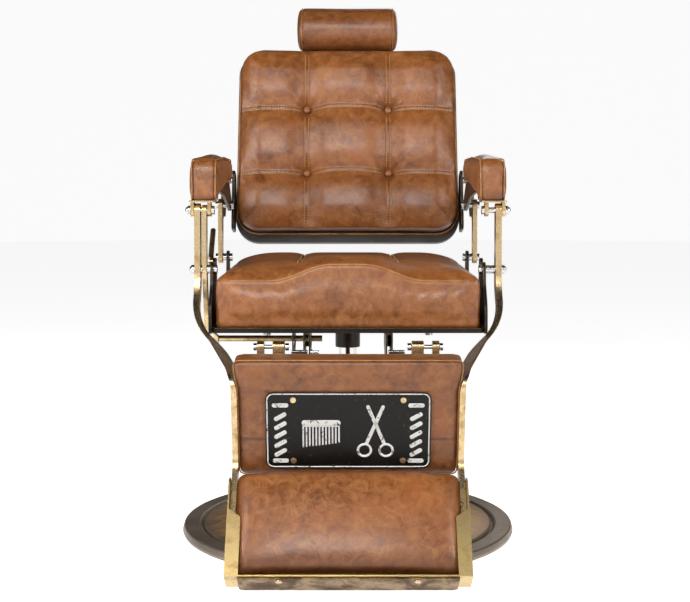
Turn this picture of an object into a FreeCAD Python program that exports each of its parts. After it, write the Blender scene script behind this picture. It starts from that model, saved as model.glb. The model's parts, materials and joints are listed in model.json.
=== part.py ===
import FreeCAD, Part
import math
import os
import re
import Sketcher

# Hydraulic barber chair. Millimetres, +Z up, +Y towards the rear, sitter's face towards -Y.
# The origin is the centre of the base plate's underside, on the floor.

Vector = FreeCAD.Vector
os.makedirs("parts", exist_ok=True)
doc = FreeCAD.newDocument("barber_chair")

# ---------------------------------------------------------------- driving dimensions
sheet = doc.addObject("Spreadsheet::Sheet", "Sizes")
SIZES = {
    # base and pump
    "base_radius": 360, "base_thick": 12, "rim_height": 20, "rim_width": 38, "dome_height": 40,
    "dome_wall": 4, "pump_radius": 55, "pump_bore": 47, "pump_top": 292, "flange_margin": 37,
    "flange_thick": 14, "piston_radius": 20, "piston_bottom": 66, "piston_head_thick": 22,
    "run_clear": 0.05, "gap": 0.3,
    # foot pedal
    "pedal_pivot_out": 29, "pedal_pivot_z": 88, "pedal_reach": 350, "pedal_rise": 32,
    "pedal_width": 16, "pedal_pad_width": 76, "pedal_pad_length": 58,
    # seat
    "cap_wall": 7, "cap_tall": 50, "plate_top": 459, "plate_thick": 10, "pan_half": 271.5,
    "pan_front": -257, "pan_rear": 243, "pan_thick": 4, "pan_lip": 10, "lip_wall": 3,
    "seat_tall": 126, "seat_margin": 3.5, "side_gap": 0.5, "side_thick": 6, "ear_radius": 15,
    # four-bar linkage: both cranks have the same length
    "front_inset": 57, "front_rise": 123, "rear_inset": 83, "rear_rise": 125, "crank": 120,
    "pin_radius": 6, "head_radius": 9, "lever_gap": 3.5, "lever_thick": 12, "lever_half": 14,
    "lever_straight": 71.75, "bend_tall": 78,
    "drive_stand": 7.5, "drive_thick": 9, "drive_half": 11, "arm_stand": 9, "arm_thick": 10,
    # cross shaft and its guides under the seat
    "shaft_back": 43, "shaft_drop": 146, "shaft_radius": 6.25, "shaft_inner_end": 53,
    "slot_clear": 0.95, "post_in": 75, "post_thick": 14, "guide_in": 108, "guide_thick": 3,
    # back
    "back_behind": 40, "back_rise": 52, "back_tilt": 12.7, "back_tall": 454, "back_inset": 8.5,
    "back_taper": 4, "back_corner": 55, "back_pad": 60, "board_thick": 10, "shell_deep": 38,
    "shell_wall": 4, "shell_edge": 3, "bracket_thick": 6, "button_x": 95.6, "button_low": 149,
    "button_high": 304, "button_radius": 8.5,
    # headrest
    "roll_radius": 54, "roll_half": 124, "roll_y": 37, "roll_gap": 1, "stem_half": 15,
    "stem_thick": 6, "stem_back": 4.4, "stem_inside": 144,
    # armrests
    "armrest_width": 59, "armrest_front": -246, "armrest_rear": 122, "armrest_tall": 59,
    "armrest_lift": 55, "nose_lift": 20, "nose_depth": 52, "rail_inset": 3.5, "rail_thick": 6,
    "fork_thick": 7, "fork_clear": 0.7, "fork_hole_clear": 0.4,
    # leg panel
    "panel_ahead": 233, "panel_drop": 354, "panel_lean": 14, "panel_half": 203, "panel_tall": 212,
    "panel_pad": 34, "panel_board": 14, "sign_width": 305, "sign_tall": 152.4, "sign_thick": 3,
    "sign_low": 1, "lug_bolt_radius": 4,
    # footrest
    "tray_ahead": 348.3, "tray_drop": 537.1, "tray_slope": 53.25, "tray_gap": 0.3,
    "tray_length": 187, "tray_wall": 3, "tray_deep": 52, "tray_flange": 25, "apron_inset": 23.3,
    "foot_inset": 7.3, "foot_crown": 12,
    # recline handle
    "handle_behind": 50, "handle_up": 8, "handle_length": 92, "handle_radius": 5.5,
    "handle_lean": 42,
}
# Places and sizes that follow from the driving ones.
DERIVED = {
    "flange_radius": "pump_radius+flange_margin",
    "pedal_pivot_y": "pump_radius+pedal_pivot_out",
    "cap_radius": "piston_radius+cap_wall",
    "plate_low": "plate_top-plate_thick",
    "cap_bottom": "plate_low-cap_tall",
    "seat_top": "plate_top+seat_tall",
    "side_in": "pan_half+side_gap",
    "side_out": "side_in+side_thick",
    "front_y": "pan_front+front_inset",
    "front_z": "plate_top+front_rise",
    "rear_y": "pan_rear-rear_inset",
    "rear_z": "plate_top+rear_rise",
    "drive_in": "side_out+drive_stand",
    "drive_out": "drive_in+drive_thick",
    "lever_in": "drive_out+lever_gap",
    "lever_out": "lever_in+lever_thick",
    "bend_top": "front_z-lever_straight-(pan_half-panel_half)*0.5",
    "bend_low": "bend_top-bend_tall",
    "arm_in": "side_out+arm_stand",
    "arm_out": "arm_in+arm_thick",
    "shaft_y": "front_y+shaft_back",
    "shaft_z": "front_z-shaft_drop",
    "slot_half": "shaft_radius+slot_clear",
    "post_out": "post_in+post_thick",
    "guide_out": "guide_in+guide_thick",
    "back_y": "rear_y+back_behind",
    "back_z": "rear_z+back_rise",
    "back_half_low": "pan_half-back_inset",
    "back_half_high": "back_half_low-back_taper",
    "board_front": "back_pad+gap",
    "shell_rear": "board_front+shell_deep",
    "bracket_in": "back_half_low+shell_edge+gap",
    "bracket_out": "bracket_in+bracket_thick",
    "stem_y": "board_front+board_thick+gap+4+stem_back-0.3",
    "stem_low": "back_tall-stem_inside",
    "roll_z": "back_tall+roll_gap+roll_radius",
    "rail_in": "pan_half-rail_inset",
    "fork_out": "lever_out+fork_clear+fork_thick",
    "armrest_out": "fork_out-0.2",
    "armrest_in": "armrest_out-armrest_width",
    "armrest_low": "front_z+crank+armrest_lift",
    "nose_low": "front_z+crank+nose_lift",
    "rail_front": "armrest_front+nose_depth+24",
    "armrest_top": "armrest_low+armrest_tall",
    "panel_y": "front_y-panel_ahead",
    "panel_z": "front_z-panel_drop",
    "panel_bar_out": "panel_half+lever_thick",
    "tray_y": "front_y-tray_ahead",
    "tray_z": "front_z-tray_drop",
    "tray_half": "panel_bar_out+tray_gap+tray_wall",
    "apron_half": "tray_half-apron_inset",
    "foot_half": "tray_half-tray_flange-foot_inset",
    "handle_y": "front_y+handle_behind",
    "handle_z": "front_z+handle_up",
}
for row, (alias, number) in enumerate(SIZES.items(), start=1):
    sheet.set(f"A{row}", alias.replace("_", " "))
    sheet.set(f"B{row}", str(number))
    sheet.setAlias(f"B{row}", alias)
doc.recompute()


# ---------------------------------------------------------------- helpers
SIZE_NAME = re.compile(r"[a-z]+(?:_[a-z]+)+|\b(?:gap|crank)\b")


def bound(expression):
    """Write an expression in size names as one that FreeCAD can bind to the sheet."""

    def spelled(match):
        name = match.group(0)
        return f"({bound(DERIVED[name])})" if name in DERIVED else f"Sizes.{name}"

    return SIZE_NAME.sub(spelled, str(expression))


def value(expression):
    """The number that an expression in size names has now."""
    result = sheet.evalExpression(bound(expression))
    return float(getattr(result, "Value", result))


def attach(sketch, body, plane, offset):
    """Lay a sketch on one of its body's origin planes, moved along that plane's axis."""
    origin_plane = [o for o in body.Origin.OriginFeatures if o.Role == f"{plane}_Plane"][0]
    sketch.AttachmentSupport = [(origin_plane, "")]
    sketch.MapMode = "FlatFace"
    sketch.setExpression("AttachmentOffset.Base.z", bound(offset))


def new_sketch(body, plane, offset="0"):
    sketch = body.newObject("Sketcher::SketchObject", f"{body.Label}_sketch")
    attach(sketch, body, plane, offset)
    return sketch


def fix(sketch, kind, targets, expression):
    """Add one dimension and bind it to the sheet."""
    index = sketch.addConstraint(Sketcher.Constraint(kind, *targets, value(expression)))
    sketch.setExpression(f".Constraints[{index}]", bound(expression))


def corner_ends(before, corner, after, radius):
    """Where a round corner starts and ends, and the centre of its arc."""
    if not radius:
        return corner, corner, None
    back = (before - corner).normalize()
    ahead = (after - corner).normalize()
    half_angle = back.getAngle(ahead) / 2
    run = radius / math.tan(half_angle)
    centre = corner + (back + ahead).normalize() * (radius / math.sin(half_angle))
    return corner + back * run, corner + ahead * run, centre


def draw_arc(sketch, first, last, centre, corner, radius):
    """Add a corner's arc; returns its index and which of its ends comes first."""
    start = math.atan2(first.y - centre.y, first.x - centre.x)
    end = math.atan2(last.y - centre.y, last.x - centre.x)
    clockwise = (first - corner).cross(last - corner).z > 0
    if clockwise:
        start, end = end, start
    if end < start:
        end += 2 * math.pi
    circle = Part.Circle(centre, Vector(0, 0, 1), radius)
    arc = sketch.addGeometry(Part.ArcOfCircle(circle, start, end))
    return (arc, 2, 1) if clockwise else (arc, 1, 2)


def outline(sketch, points):
    """Draw a closed outline. Each point is (x, y) or (x, y, corner radius), in size names."""
    count = len(points)
    corners = [Vector(value(p[0]), value(p[1]), 0) for p in points]
    radii = [value(p[2]) if len(p) > 2 else 0.0 for p in points]
    ends = [
        corner_ends(corners[i - 1], corners[i], corners[(i + 1) % count], radii[i])
        for i in range(count)
    ]
    lines = [
        sketch.addGeometry(Part.LineSegment(ends[i][1], ends[(i + 1) % count][0]))
        for i in range(count)
    ]
    for i, point in enumerate(points):
        before, after = lines[i - 1], lines[i]
        if radii[i]:
            first, last, centre = ends[i]
            arc, near, far = draw_arc(sketch, first, last, centre, corners[i], radii[i])
            mark = sketch.addGeometry(Part.Point(corners[i]), True)
            sketch.addConstraint(Sketcher.Constraint("Tangent", before, 2, arc, near))
            sketch.addConstraint(Sketcher.Constraint("Tangent", arc, far, after, 1))
            sketch.addConstraint(Sketcher.Constraint("PointOnObject", mark, 1, before))
            sketch.addConstraint(Sketcher.Constraint("PointOnObject", mark, 1, after))
            fix(sketch, "Radius", (arc,), point[2])
        else:
            mark = after
            sketch.addConstraint(Sketcher.Constraint("Coincident", before, 2, after, 1))
        fix(sketch, "DistanceX", (-1, 1, mark, 1), point[0])
        fix(sketch, "DistanceY", (-1, 1, mark, 1), point[1])


def disc(sketch, x, y, radius):
    """Draw a circle."""
    centre = Vector(value(x), value(y), 0)
    circle = sketch.addGeometry(Part.Circle(centre, Vector(0, 0, 1), value(radius)))
    fix(sketch, "DistanceX", (-1, 1, circle, 3), x)
    fix(sketch, "DistanceY", (-1, 1, circle, 3), y)
    fix(sketch, "Radius", (circle,), radius)


def new_body(label):
    body = doc.addObject("PartDesign::Body", label)
    body.Label = label
    return body


def pad(body, plane, drawing, low, high):
    """Fill a drawing between two stations on the axis that its plane faces."""
    # The XZ plane faces -Y, so its stations are counted the other way.
    sketch = new_sketch(body, plane, f"-({high})" if plane == "XZ" else low)
    drawing(sketch)
    feature = body.newObject("PartDesign::Pad", f"{body.Label}_pad")
    feature.Profile = sketch
    feature.setExpression("Length", bound(f"({high})-({low})"))
    return feature


def cut(body, plane, drawing, low, high):
    """Remove a drawing between two stations; the volume has to fall."""
    doc.recompute()
    before = body.Shape.Volume
    sketch = new_sketch(body, plane, f"-({low})" if plane == "XZ" else high)
    drawing(sketch)
    feature = body.newObject("PartDesign::Pocket", f"{body.Label}_cut")
    feature.Profile = sketch
    feature.setExpression("Length", bound(f"({high})-({low})"))
    doc.recompute()
    if body.Shape.Volume >= before - 1:
        raise RuntimeError(f"a cut in {body.Label} removes nothing")
    return feature


def shape_of(points):
    """A drawing of one closed outline."""
    return lambda sketch: outline(sketch, points)


def holes(*circles):
    """A drawing of circles, each (x, y, radius)."""

    def draw(sketch):
        for circle in circles:
            disc(sketch, *circle)

    return draw


def rectangle(x_low, x_high, y_low, y_high, radius=None):
    corners = [(x_low, y_low), (x_high, y_low), (x_high, y_high), (x_low, y_high)]
    return shape_of([corner + (radius,) for corner in corners] if radius else corners)


def revolve(body, points):
    """Turn an outline in the XZ plane about the Z axis."""
    sketch = new_sketch(body, "XZ")
    outline(sketch, points)
    feature = body.newObject("PartDesign::Revolution", f"{body.Label}_turn")
    feature.Profile = sketch
    feature.ReferenceAxis = (sketch, ["V_Axis"])
    feature.Angle = 360


def round_edges(body, radius, chosen):
    """Round the edges of the body's last feature that the test picks."""
    doc.recompute()
    base = body.Tip
    names = [f"Edge{i}" for i, edge in enumerate(base.Shape.Edges, start=1) if chosen(edge)]
    feature = body.newObject("PartDesign::Fillet", f"{body.Label}_round")
    feature.Base = (base, names)
    feature.setExpression("Radius", bound(radius))


def place(piece, y, z, angle):
    """Lean a piece that is drawn upright about the X axis and move it to its station."""
    piece.Placement = FreeCAD.Placement(Vector(), FreeCAD.Rotation(Vector(1, 0, 0), 1))
    piece.setExpression("Placement.Base.y", bound(y))
    piece.setExpression("Placement.Base.z", bound(z))
    piece.setExpression("Placement.Rotation.Angle", bound(angle))


def on_back(piece):
    place(piece, "back_y", "back_z", "-back_tilt")


def on_panel(piece):
    place(piece, "panel_y", "panel_z", "panel_lean")


def on_tray(piece):
    place(piece, "tray_y", "tray_z", "tray_slope")


def rod(label, axis, start, radius, length):
    """A round bar along X, Y or Z from its start point."""
    piece = doc.addObject("Part::Cylinder", label)
    turn = {"X": (Vector(0, 1, 0), 90), "Y": (Vector(1, 0, 0), -90), "Z": (Vector(0, 0, 1), 0)}
    piece.Placement.Rotation = FreeCAD.Rotation(*turn[axis])
    for name, expression in zip("xyz", start):
        piece.setExpression(f"Placement.Base.{name}", bound(expression))
    piece.setExpression("Radius", bound(radius))
    piece.setExpression("Height", bound(length))
    return piece


def joined(label, pieces):
    piece = doc.addObject("Part::MultiFuse", label)
    piece.Shapes = pieces
    piece.Label = label
    return piece


def grouped(label, pieces):
    piece = doc.addObject("Part::Compound", label)
    piece.Links = pieces
    piece.Label = label
    return piece


def bolt(label, side, low, high, y, z, nut_low, nut_high):
    """A pivot bolt along X with a domed nut at each end. low and high are distances from the
    middle of the chair; side is 1 on the sitter's left (+X) and -1 on the right."""
    start = f"{side}*({low})" if side > 0 else f"-({high})"
    shank = rod(f"{label}_shank", "X", (start, y, z), "pin_radius", f"({high})-({low})")
    inner_start = f"({low})-({nut_low})" if side > 0 else f"-({low})"
    inner = rod(f"{label}_inner", "X", (inner_start, y, z), "head_radius", nut_low)
    outer_start = high if side > 0 else f"-({high})-({nut_high})"
    outer = rod(f"{label}_outer", "X", (outer_start, y, z), "head_radius", nut_high)
    return joined(label, [shank, inner, outer])


nodes = []


def keep(piece, label=None):
    """Name a finished sub-part: its label is its node and its file."""
    if label:
        piece.Label = label
    nodes.append(piece)
    return piece


SIDES = {"left": 1, "right": -1}  # the sitter's left is +X


def stations(side, low, high):
    """Two stations on the X axis, given as distances from the middle of the chair."""
    return (low, high) if side > 0 else (f"-({high})", f"-({low})")


# ---------------------------------------------------------------- base, pump and pedal
def build_base():
    plate = keep(new_body("base_plate"))
    revolve(plate, [
        ("0", "0"), ("base_radius-3", "0", "2"), ("base_radius", "6", "4"),
        ("base_radius-4", "rim_height", "5"), ("base_radius-rim_width", "rim_height", "5"),
        ("base_radius-rim_width-6", "base_thick"), ("0", "base_thick"),
    ])
    cover = keep(new_body("base_dome"))
    foot = "base_radius-rim_width-9"
    revolve(cover, [
        (foot, "base_thick+gap"), (foot, "base_thick+8", "5"), ("220", "dome_height-2", "120"),
        ("flange_radius+30", "dome_height+4", "60"), ("flange_radius+gap", "dome_height+5"),
        ("flange_radius+gap", "dome_height+5-dome_wall"),
        ("flange_radius+30", "dome_height+4-dome_wall", "56"),
        ("220", "dome_height-2-dome_wall", "116"),
        (f"{foot}-dome_wall", "base_thick+8-dome_wall*0.8", "3"), (f"{foot}-dome_wall", "base_thick+gap"),
    ])


def build_pump():
    flange = keep(new_body("pump_flange"))
    flange_top = "base_thick+gap+flange_thick"
    pad(flange, "XY", holes(("0", "0", "flange_radius")), "base_thick+gap", flange_top)
    housing = keep(new_body("pump_housing"))
    pad(housing, "XY", holes(("0", "0", "pump_radius")), flange_top, "pump_top")
    cut(housing, "XY", holes(("0", "0", "pump_bore")), "piston_bottom-20", "pump_top-22")
    cut(housing, "XY", holes(("0", "0", "piston_radius+run_clear")), "pump_top-23", "pump_top")
    bolts = []
    for index in range(4):
        angle = math.radians(45 + 90 * index)
        x, y = (f"{turn(angle):.6f}*(flange_radius-16)" for turn in (math.cos, math.sin))
        spot = (x, y, flange_top)
        bolts.append(rod(f"flange_bolt_{index}", "Z", spot, "head_radius", "7"))
    keep(grouped("flange_bolts", bolts))
    rod_piece = keep(rod("piston_rod", "Z", ("0", "0", "piston_bottom"), "piston_radius",
                         "plate_low-piston_bottom-8"))
    rod_piece.Label = "piston_rod"
    head = keep(new_body("piston_head"))
    head_top = "piston_bottom+piston_head_thick"
    pad(head, "XY", holes(("0", "0", "pump_bore-run_clear")), "piston_bottom", head_top)
    cut(head, "XY", holes(("0", "0", "piston_radius")), "piston_bottom", head_top)


def build_pedal():
    bracket = keep(new_body("pedal_bracket"))
    ear = [
        ("pump_radius-1", "pedal_pivot_z-26"), ("pedal_pivot_y+4", "pedal_pivot_z-26", "10"),
        ("pedal_pivot_y+16", "pedal_pivot_z-4", "12"), ("pedal_pivot_y+10", "pedal_pivot_z+15", "12"),
        ("pump_radius-1", "pedal_pivot_z+15"),
    ]
    pad(bracket, "YZ", shape_of(ear), "-pedal_width/2-8", "pedal_width/2+8")
    cut(bracket, "XY", holes(("0", "0", "pump_radius+gap")), "pedal_pivot_z-40", "pedal_pivot_z+40")
    cut(bracket, "XY", rectangle("-pedal_width/2-0.5", "pedal_width/2+0.5", "pump_radius+8",
                                 "pedal_pivot_y+40"), "pedal_pivot_z-40", "pedal_pivot_z+40")
    cut(bracket, "YZ", holes(("pedal_pivot_y", "pedal_pivot_z", "pin_radius")),
        "-pedal_width/2-9", "pedal_width/2+9")
    keep(rod("pedal_pin", "X", ("-pedal_width/2-12", "pedal_pivot_y", "pedal_pivot_z"),
             "pin_radius", "pedal_width+24"), "pedal_pin")
    arm = keep(new_body("pedal_arm"))
    tip_y = "pedal_pivot_y+pedal_reach"
    tip_z = "pedal_pivot_z+pedal_rise"
    pad(arm, "YZ", shape_of([
        ("pedal_pivot_y-11", "pedal_pivot_z-11", "10"), ("pedal_pivot_y+40", "pedal_pivot_z-9", "40"),
        (f"{tip_y}-70", f"{tip_z}-14", "60"), (tip_y, f"{tip_z}-8", "3"), (tip_y, tip_z),
        (f"{tip_y}-62", tip_z, "40"), ("pedal_pivot_y+44", "pedal_pivot_z+12", "40"),
        ("pedal_pivot_y-11", "pedal_pivot_z+11", "10"),
    ]), "-pedal_width/2", "pedal_width/2")
    cut(arm, "YZ", holes(("pedal_pivot_y", "pedal_pivot_z", "pin_radius+run_clear")),
        "-pedal_width/2", "pedal_width/2")
    rubber = keep(new_body("pedal_rubber"))
    pad(rubber, "XY", rectangle("-pedal_pad_width/2", "pedal_pad_width/2",
                                f"{tip_y}-pedal_pad_length", f"{tip_y}+2", "12"),
        tip_z, f"{tip_z}+16")
    round_edges(rubber, "4", lambda edge: edge.BoundBox.ZMin > value(tip_z) + 15.9)


# ---------------------------------------------------------------- seat frame
def side_plate_outline():
    """Side plate: a long foot rail with an ear for each pivot and one for the handle."""
    return [
        ("pan_front+2", "plate_top-3", "12"), ("pan_rear-2", "plate_top-3"),
        ("pan_rear-2", "plate_top+16", "10"), ("rear_y+ear_radius+12", "plate_top+26", "30"),
        ("rear_y+ear_radius", "rear_z+ear_radius", "ear_radius-1"),
        ("rear_y-ear_radius", "rear_z+ear_radius", "ear_radius-1"),
        ("rear_y-ear_radius-14", "plate_top+22", "30"),
        ("handle_y+30", "plate_top+22", "30"), ("handle_y+13", "handle_z+12", "11"),
        ("handle_y-12", "handle_z+12", "11"), ("handle_y-17", "front_z-24", "6"),
        ("front_y+ear_radius", "front_z-22", "6"),
        ("front_y+ear_radius", "front_z+ear_radius", "ear_radius-1"),
        ("front_y-ear_radius", "front_z+ear_radius", "ear_radius-1"),
        ("front_y-ear_radius-8", "front_z-30", "30"), ("pan_front+2", "plate_top+50", "30"),
    ]


def build_seat():
    cap = keep(new_body("swivel_cap"))
    pad(cap, "XY", holes(("0", "0", "cap_radius")), "cap_bottom", "plate_low")
    cut(cap, "XY", holes(("0", "0", "piston_radius+run_clear")), "cap_bottom",
        "plate_low-8+gap")
    plate = keep(new_body("seat_plate"))
    pad(plate, "XY", rectangle("-110", "110", "-125", "125", "14"), "plate_low", "plate_top")
    pan = keep(new_body("seat_pan"))
    pad(pan, "XY", rectangle("-pan_half", "pan_half", "pan_front", "pan_rear", "10"),
        "plate_top", "plate_top+pan_lip")
    cut(pan, "XY", rectangle("lip_wall-pan_half", "pan_half-lip_wall", "pan_front+lip_wall",
                             "pan_rear-lip_wall", "1"), "plate_top+pan_thick", "plate_top+pan_lip")
    heads = []
    for x in ("-90", "90"):
        for y in ("-100", "100"):
            heads.append(rod("plate_bolt", "Z", (x, y, "plate_low-7"), "head_radius", "7"))
    for x in ("-162", "162"):
        for y in ("pan_front+14", "pan_rear-14"):
            heads.append(rod("pan_bolt", "Z", (x, y, "plate_top-5"), "head_radius-1.5", "5"))
    keep(grouped("seat_bolts", heads))
    cushion = keep(new_body("seat_cushion"))
    foot = "plate_top+pan_thick+gap"
    front = "pan_front+seat_margin"
    rear = "pan_rear-seat_margin"
    pad(cushion, "YZ", shape_of([
        (front, foot), (rear, foot), (rear, "seat_top-6", "30"), ("60", "seat_top-4", "200"),
        (f"{front}+70", "seat_top", "60"), (front, "seat_top-14", "22"),
    ]), "-pan_half+seat_margin", "pan_half-seat_margin")
    edge = "pan_half-seat_margin"
    for side in SIDES.values():
        cut(cushion, "XZ", shape_of([
            (f"{side}*({edge}+1)", "seat_top-20"), (f"{side}*({edge}+1)", "seat_top+20"),
            (f"{side}*({edge}-40)", "seat_top+20"), (f"{side}*({edge}-40)", "seat_top+1", "60"),
        ]), "pan_front", "pan_rear")
    for name, side in SIDES.items():
        piece = keep(new_body(f"side_plate_{name}"))
        low, high = stations(side, "side_in", "side_out")
        pad(piece, "YZ", shape_of(side_plate_outline()), low, high)
        cut(piece, "YZ", holes(("front_y", "front_z", "pin_radius"), ("rear_y", "rear_z", "pin_radius")),
            low, high)


def guide_outline():
    """A hanging plate whose foot follows the swing of the cross shaft."""
    return [
        ("front_y-66", "plate_top"), ("front_y-66", "plate_top-40", "8"), ("front_y", "plate_top-64", "60"),
        ("front_y+66", "plate_top-40", "8"), ("front_y+66", "plate_top"),
    ]


def swing_slot(body, low, high):
    """Cut the arc that the cross shaft travels, centred on the front pivot."""
    doc.recompute()
    before = body.Shape.Volume
    radius = "sqrt((shaft_y-front_y)^2+(shaft_z-front_z)^2)"
    sketch = new_sketch(body, "XZ", "-front_y")
    outline(sketch, [
        (low, f"front_z-{radius}-slot_half"), (high, f"front_z-{radius}-slot_half"),
        (high, f"front_z-{radius}+slot_half"), (low, f"front_z-{radius}+slot_half"),
    ])
    ends = [Vector(value(x), value("front_z"), 0) for x in (low, high)]
    axis = sketch.addGeometry(Part.LineSegment(*ends), True)
    for end, x in ((1, low), (2, high)):
        fix(sketch, "DistanceX", (-1, 1, axis, end), x)
        fix(sketch, "DistanceY", (-1, 1, axis, end), "front_z")
    groove = body.newObject("PartDesign::Groove", f"{body.Label}_slot")
    groove.Profile = sketch
    groove.ReferenceAxis = (sketch, ["Axis0"])
    groove.Angle = 43
    groove.Midplane = True
    doc.recompute()
    if body.Shape.Volume >= before - 1:
        raise RuntimeError(f"the slot in {body.Label} removes nothing")


def build_under_seat():
    guide = keep(new_body("guide_plate"))
    low, high = stations(-1, "guide_in", "guide_out")
    pad(guide, "YZ", shape_of(guide_outline()), low, high)
    swing_slot(guide, f"{low}-2", f"{high}+2")
    for name, side in SIDES.items():
        post = keep(new_body(f"guide_post_{name}"))
        low, high = stations(side, "post_in", "post_out")
        pad(post, "YZ", shape_of(guide_outline()), low, high)
        cut(post, "XZ", rectangle(f"{low}+3", f"{high}-3", "plate_top-70", "plate_top-3"),
            "front_y-70", "front_y+60")
        if side < 0:
            swing_slot(post, f"{low}-2", f"{high}+2")
    blocks = []
    for side in SIDES.values():
        block = doc.addObject("Part::Box", "buffer")
        low, high = stations(side, "post_in+5", "guide_in+4")
        block.setExpression("Placement.Base.x", bound(low))
        block.setExpression("Placement.Base.y", bound("front_y-66-gap-18"))
        block.setExpression("Placement.Base.z", bound("plate_top-52"))
        block.setExpression("Length", bound(f"({high})-({low})"))
        block.Width = 18
        block.Height = 20
        blocks.append(block)
    keep(grouped("buffer_blocks", blocks))
    shank = rod("lock_shank", "X", ("-post_in+gap", "front_y-58", "plate_top-38"), "3.5", "17")
    tip = rod("lock_tip", "X", ("-post_in+gap", "front_y-58", "plate_top-38"), "6", "4")
    keep(joined("lock_bolt", [shank, tip]))


def build_pivots():
    bolts = []
    spacers = []
    for name, side in SIDES.items():
        bolts.append(bolt(f"front_pivot_{name}", side, "side_in", "lever_out+gap",
                          "front_y", "front_z", "7", "7"))
        bolts.append(bolt(f"rear_pivot_{name}", side, "side_in", "arm_out+gap",
                          "rear_y", "rear_z", "7", "6"))
        spans = [("rear_y", "rear_z", "side_out", "arm_in-gap")]
        if side > 0:
            spans.append(("front_y", "front_z", "side_out", "lever_in-gap"))
        else:
            spans.append(("front_y", "front_z", "side_out", "drive_in-gap"))
            spans.append(("front_y", "front_z", "drive_out+gap", "lever_in-gap"))
        for y, z, near, far in spans:
            low, high = stations(side, near, far)
            ring = new_body("pivot_ring")
            pad(ring, "YZ", holes((y, z, "head_radius")), low, high)
            cut(ring, "YZ", holes((y, z, "pin_radius")), low, high)
            spacers.append(ring)
    keep(grouped("pivot_bolts", bolts))
    keep(grouped("pivot_spacers", spacers))


# ---------------------------------------------------------------- recline handle
def build_handle():
    low, high = stations(-1, "side_out+gap", "drive_in-1")
    lug = new_body("handle_lug")
    pad(lug, "YZ", shape_of([
        ("handle_y-9", "handle_z-9", "8.5"), ("handle_y+9", "handle_z-9", "8.5"),
        ("handle_y+20", "handle_z+8", "6"), ("handle_y+9", "handle_z+20", "6"),
        ("handle_y-9", "handle_z+9", "8"),
    ]), low, high)
    cut(lug, "YZ", holes(("handle_y", "handle_z", "pin_radius-2+run_clear")), low, high)
    stem = new_body("handle_stem")
    pad(stem, "XY", holes(("0", "0", "handle_radius")), "14", "handle_length")
    round_edges(stem, "1.5", lambda edge: edge.BoundBox.ZMin > value("handle_length") - 0.1)
    place(stem, "handle_y", "handle_z", "-handle_lean")
    stem.setExpression("Placement.Base.x", bound("-(side_out+handle_radius+gap*2)"))
    keep(joined("recline_handle", [lug, stem]))
    keep(rod("handle_pin", "X", ("-drive_in-2.5", "handle_y", "handle_z"), "pin_radius-2",
             "drive_in+2.5-side_out"), "handle_pin")


# ---------------------------------------------------------------- back
def back_outline(inset):
    """The back's front view, drawn in by an inset."""
    low = f"back_half_low-({inset})"
    high = f"back_half_high-({inset})"
    corner = f"back_corner-({inset})"
    return [
        (f"-({low})", inset, corner), (low, inset, corner),
        (high, f"back_tall-({inset})", corner), (f"-({high})", f"back_tall-({inset})", corner),
    ]


def build_back():
    cushion = keep(new_body("back_cushion"))
    pad(cushion, "XZ", shape_of(back_outline("0")), "0", "back_pad")
    on_back(cushion)
    board = keep(new_body("back_board"))
    pad(board, "XZ", shape_of(back_outline("shell_wall-shell_edge+gap")), "board_front",
        "board_front+board_thick")
    on_back(board)
    shell = keep(new_body("back_shell"))
    edge_low = "back_half_low+shell_edge"
    edge_high = "back_half_high+shell_edge"
    pad(shell, "XZ", shape_of([
        (f"-({edge_low})", "-shell_edge-6", "back_corner"), (edge_low, "-shell_edge-6", "back_corner"),
        (edge_high, "back_tall+1", "back_corner"), (f"-({edge_high})", "back_tall+1", "back_corner"),
    ]), "board_front", "shell_rear")
    round_edges(shell, "12", lambda edge: edge.BoundBox.YMin > value("shell_rear") - 0.1)
    cut(shell, "XZ", shape_of(back_outline("shell_wall-shell_edge")), "board_front",
        "shell_rear-shell_wall")
    cut(shell, "XY", rectangle("-stem_half-1", "stem_half+1", "stem_y-1", "stem_y+stem_thick+1"),
        "back_tall-40", "back_tall+10")
    cut(shell, "XZ", holes(("0", "back_tall-26", "4.2")), "shell_rear-shell_wall-1", "shell_rear+1")
    on_back(shell)
    buttons = []
    for x in ("-button_x", "button_x"):
        for z in ("button_low", "button_high"):
            button = new_body("button")
            pad(button, "XZ", holes((x, z, "button_radius")), "-6", "-gap")
            round_edges(button, "2.5", lambda edge: edge.BoundBox.YMax < -5.9)
            on_back(button)
            buttons.append(button)
    keep(grouped("back_buttons", buttons))


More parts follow.
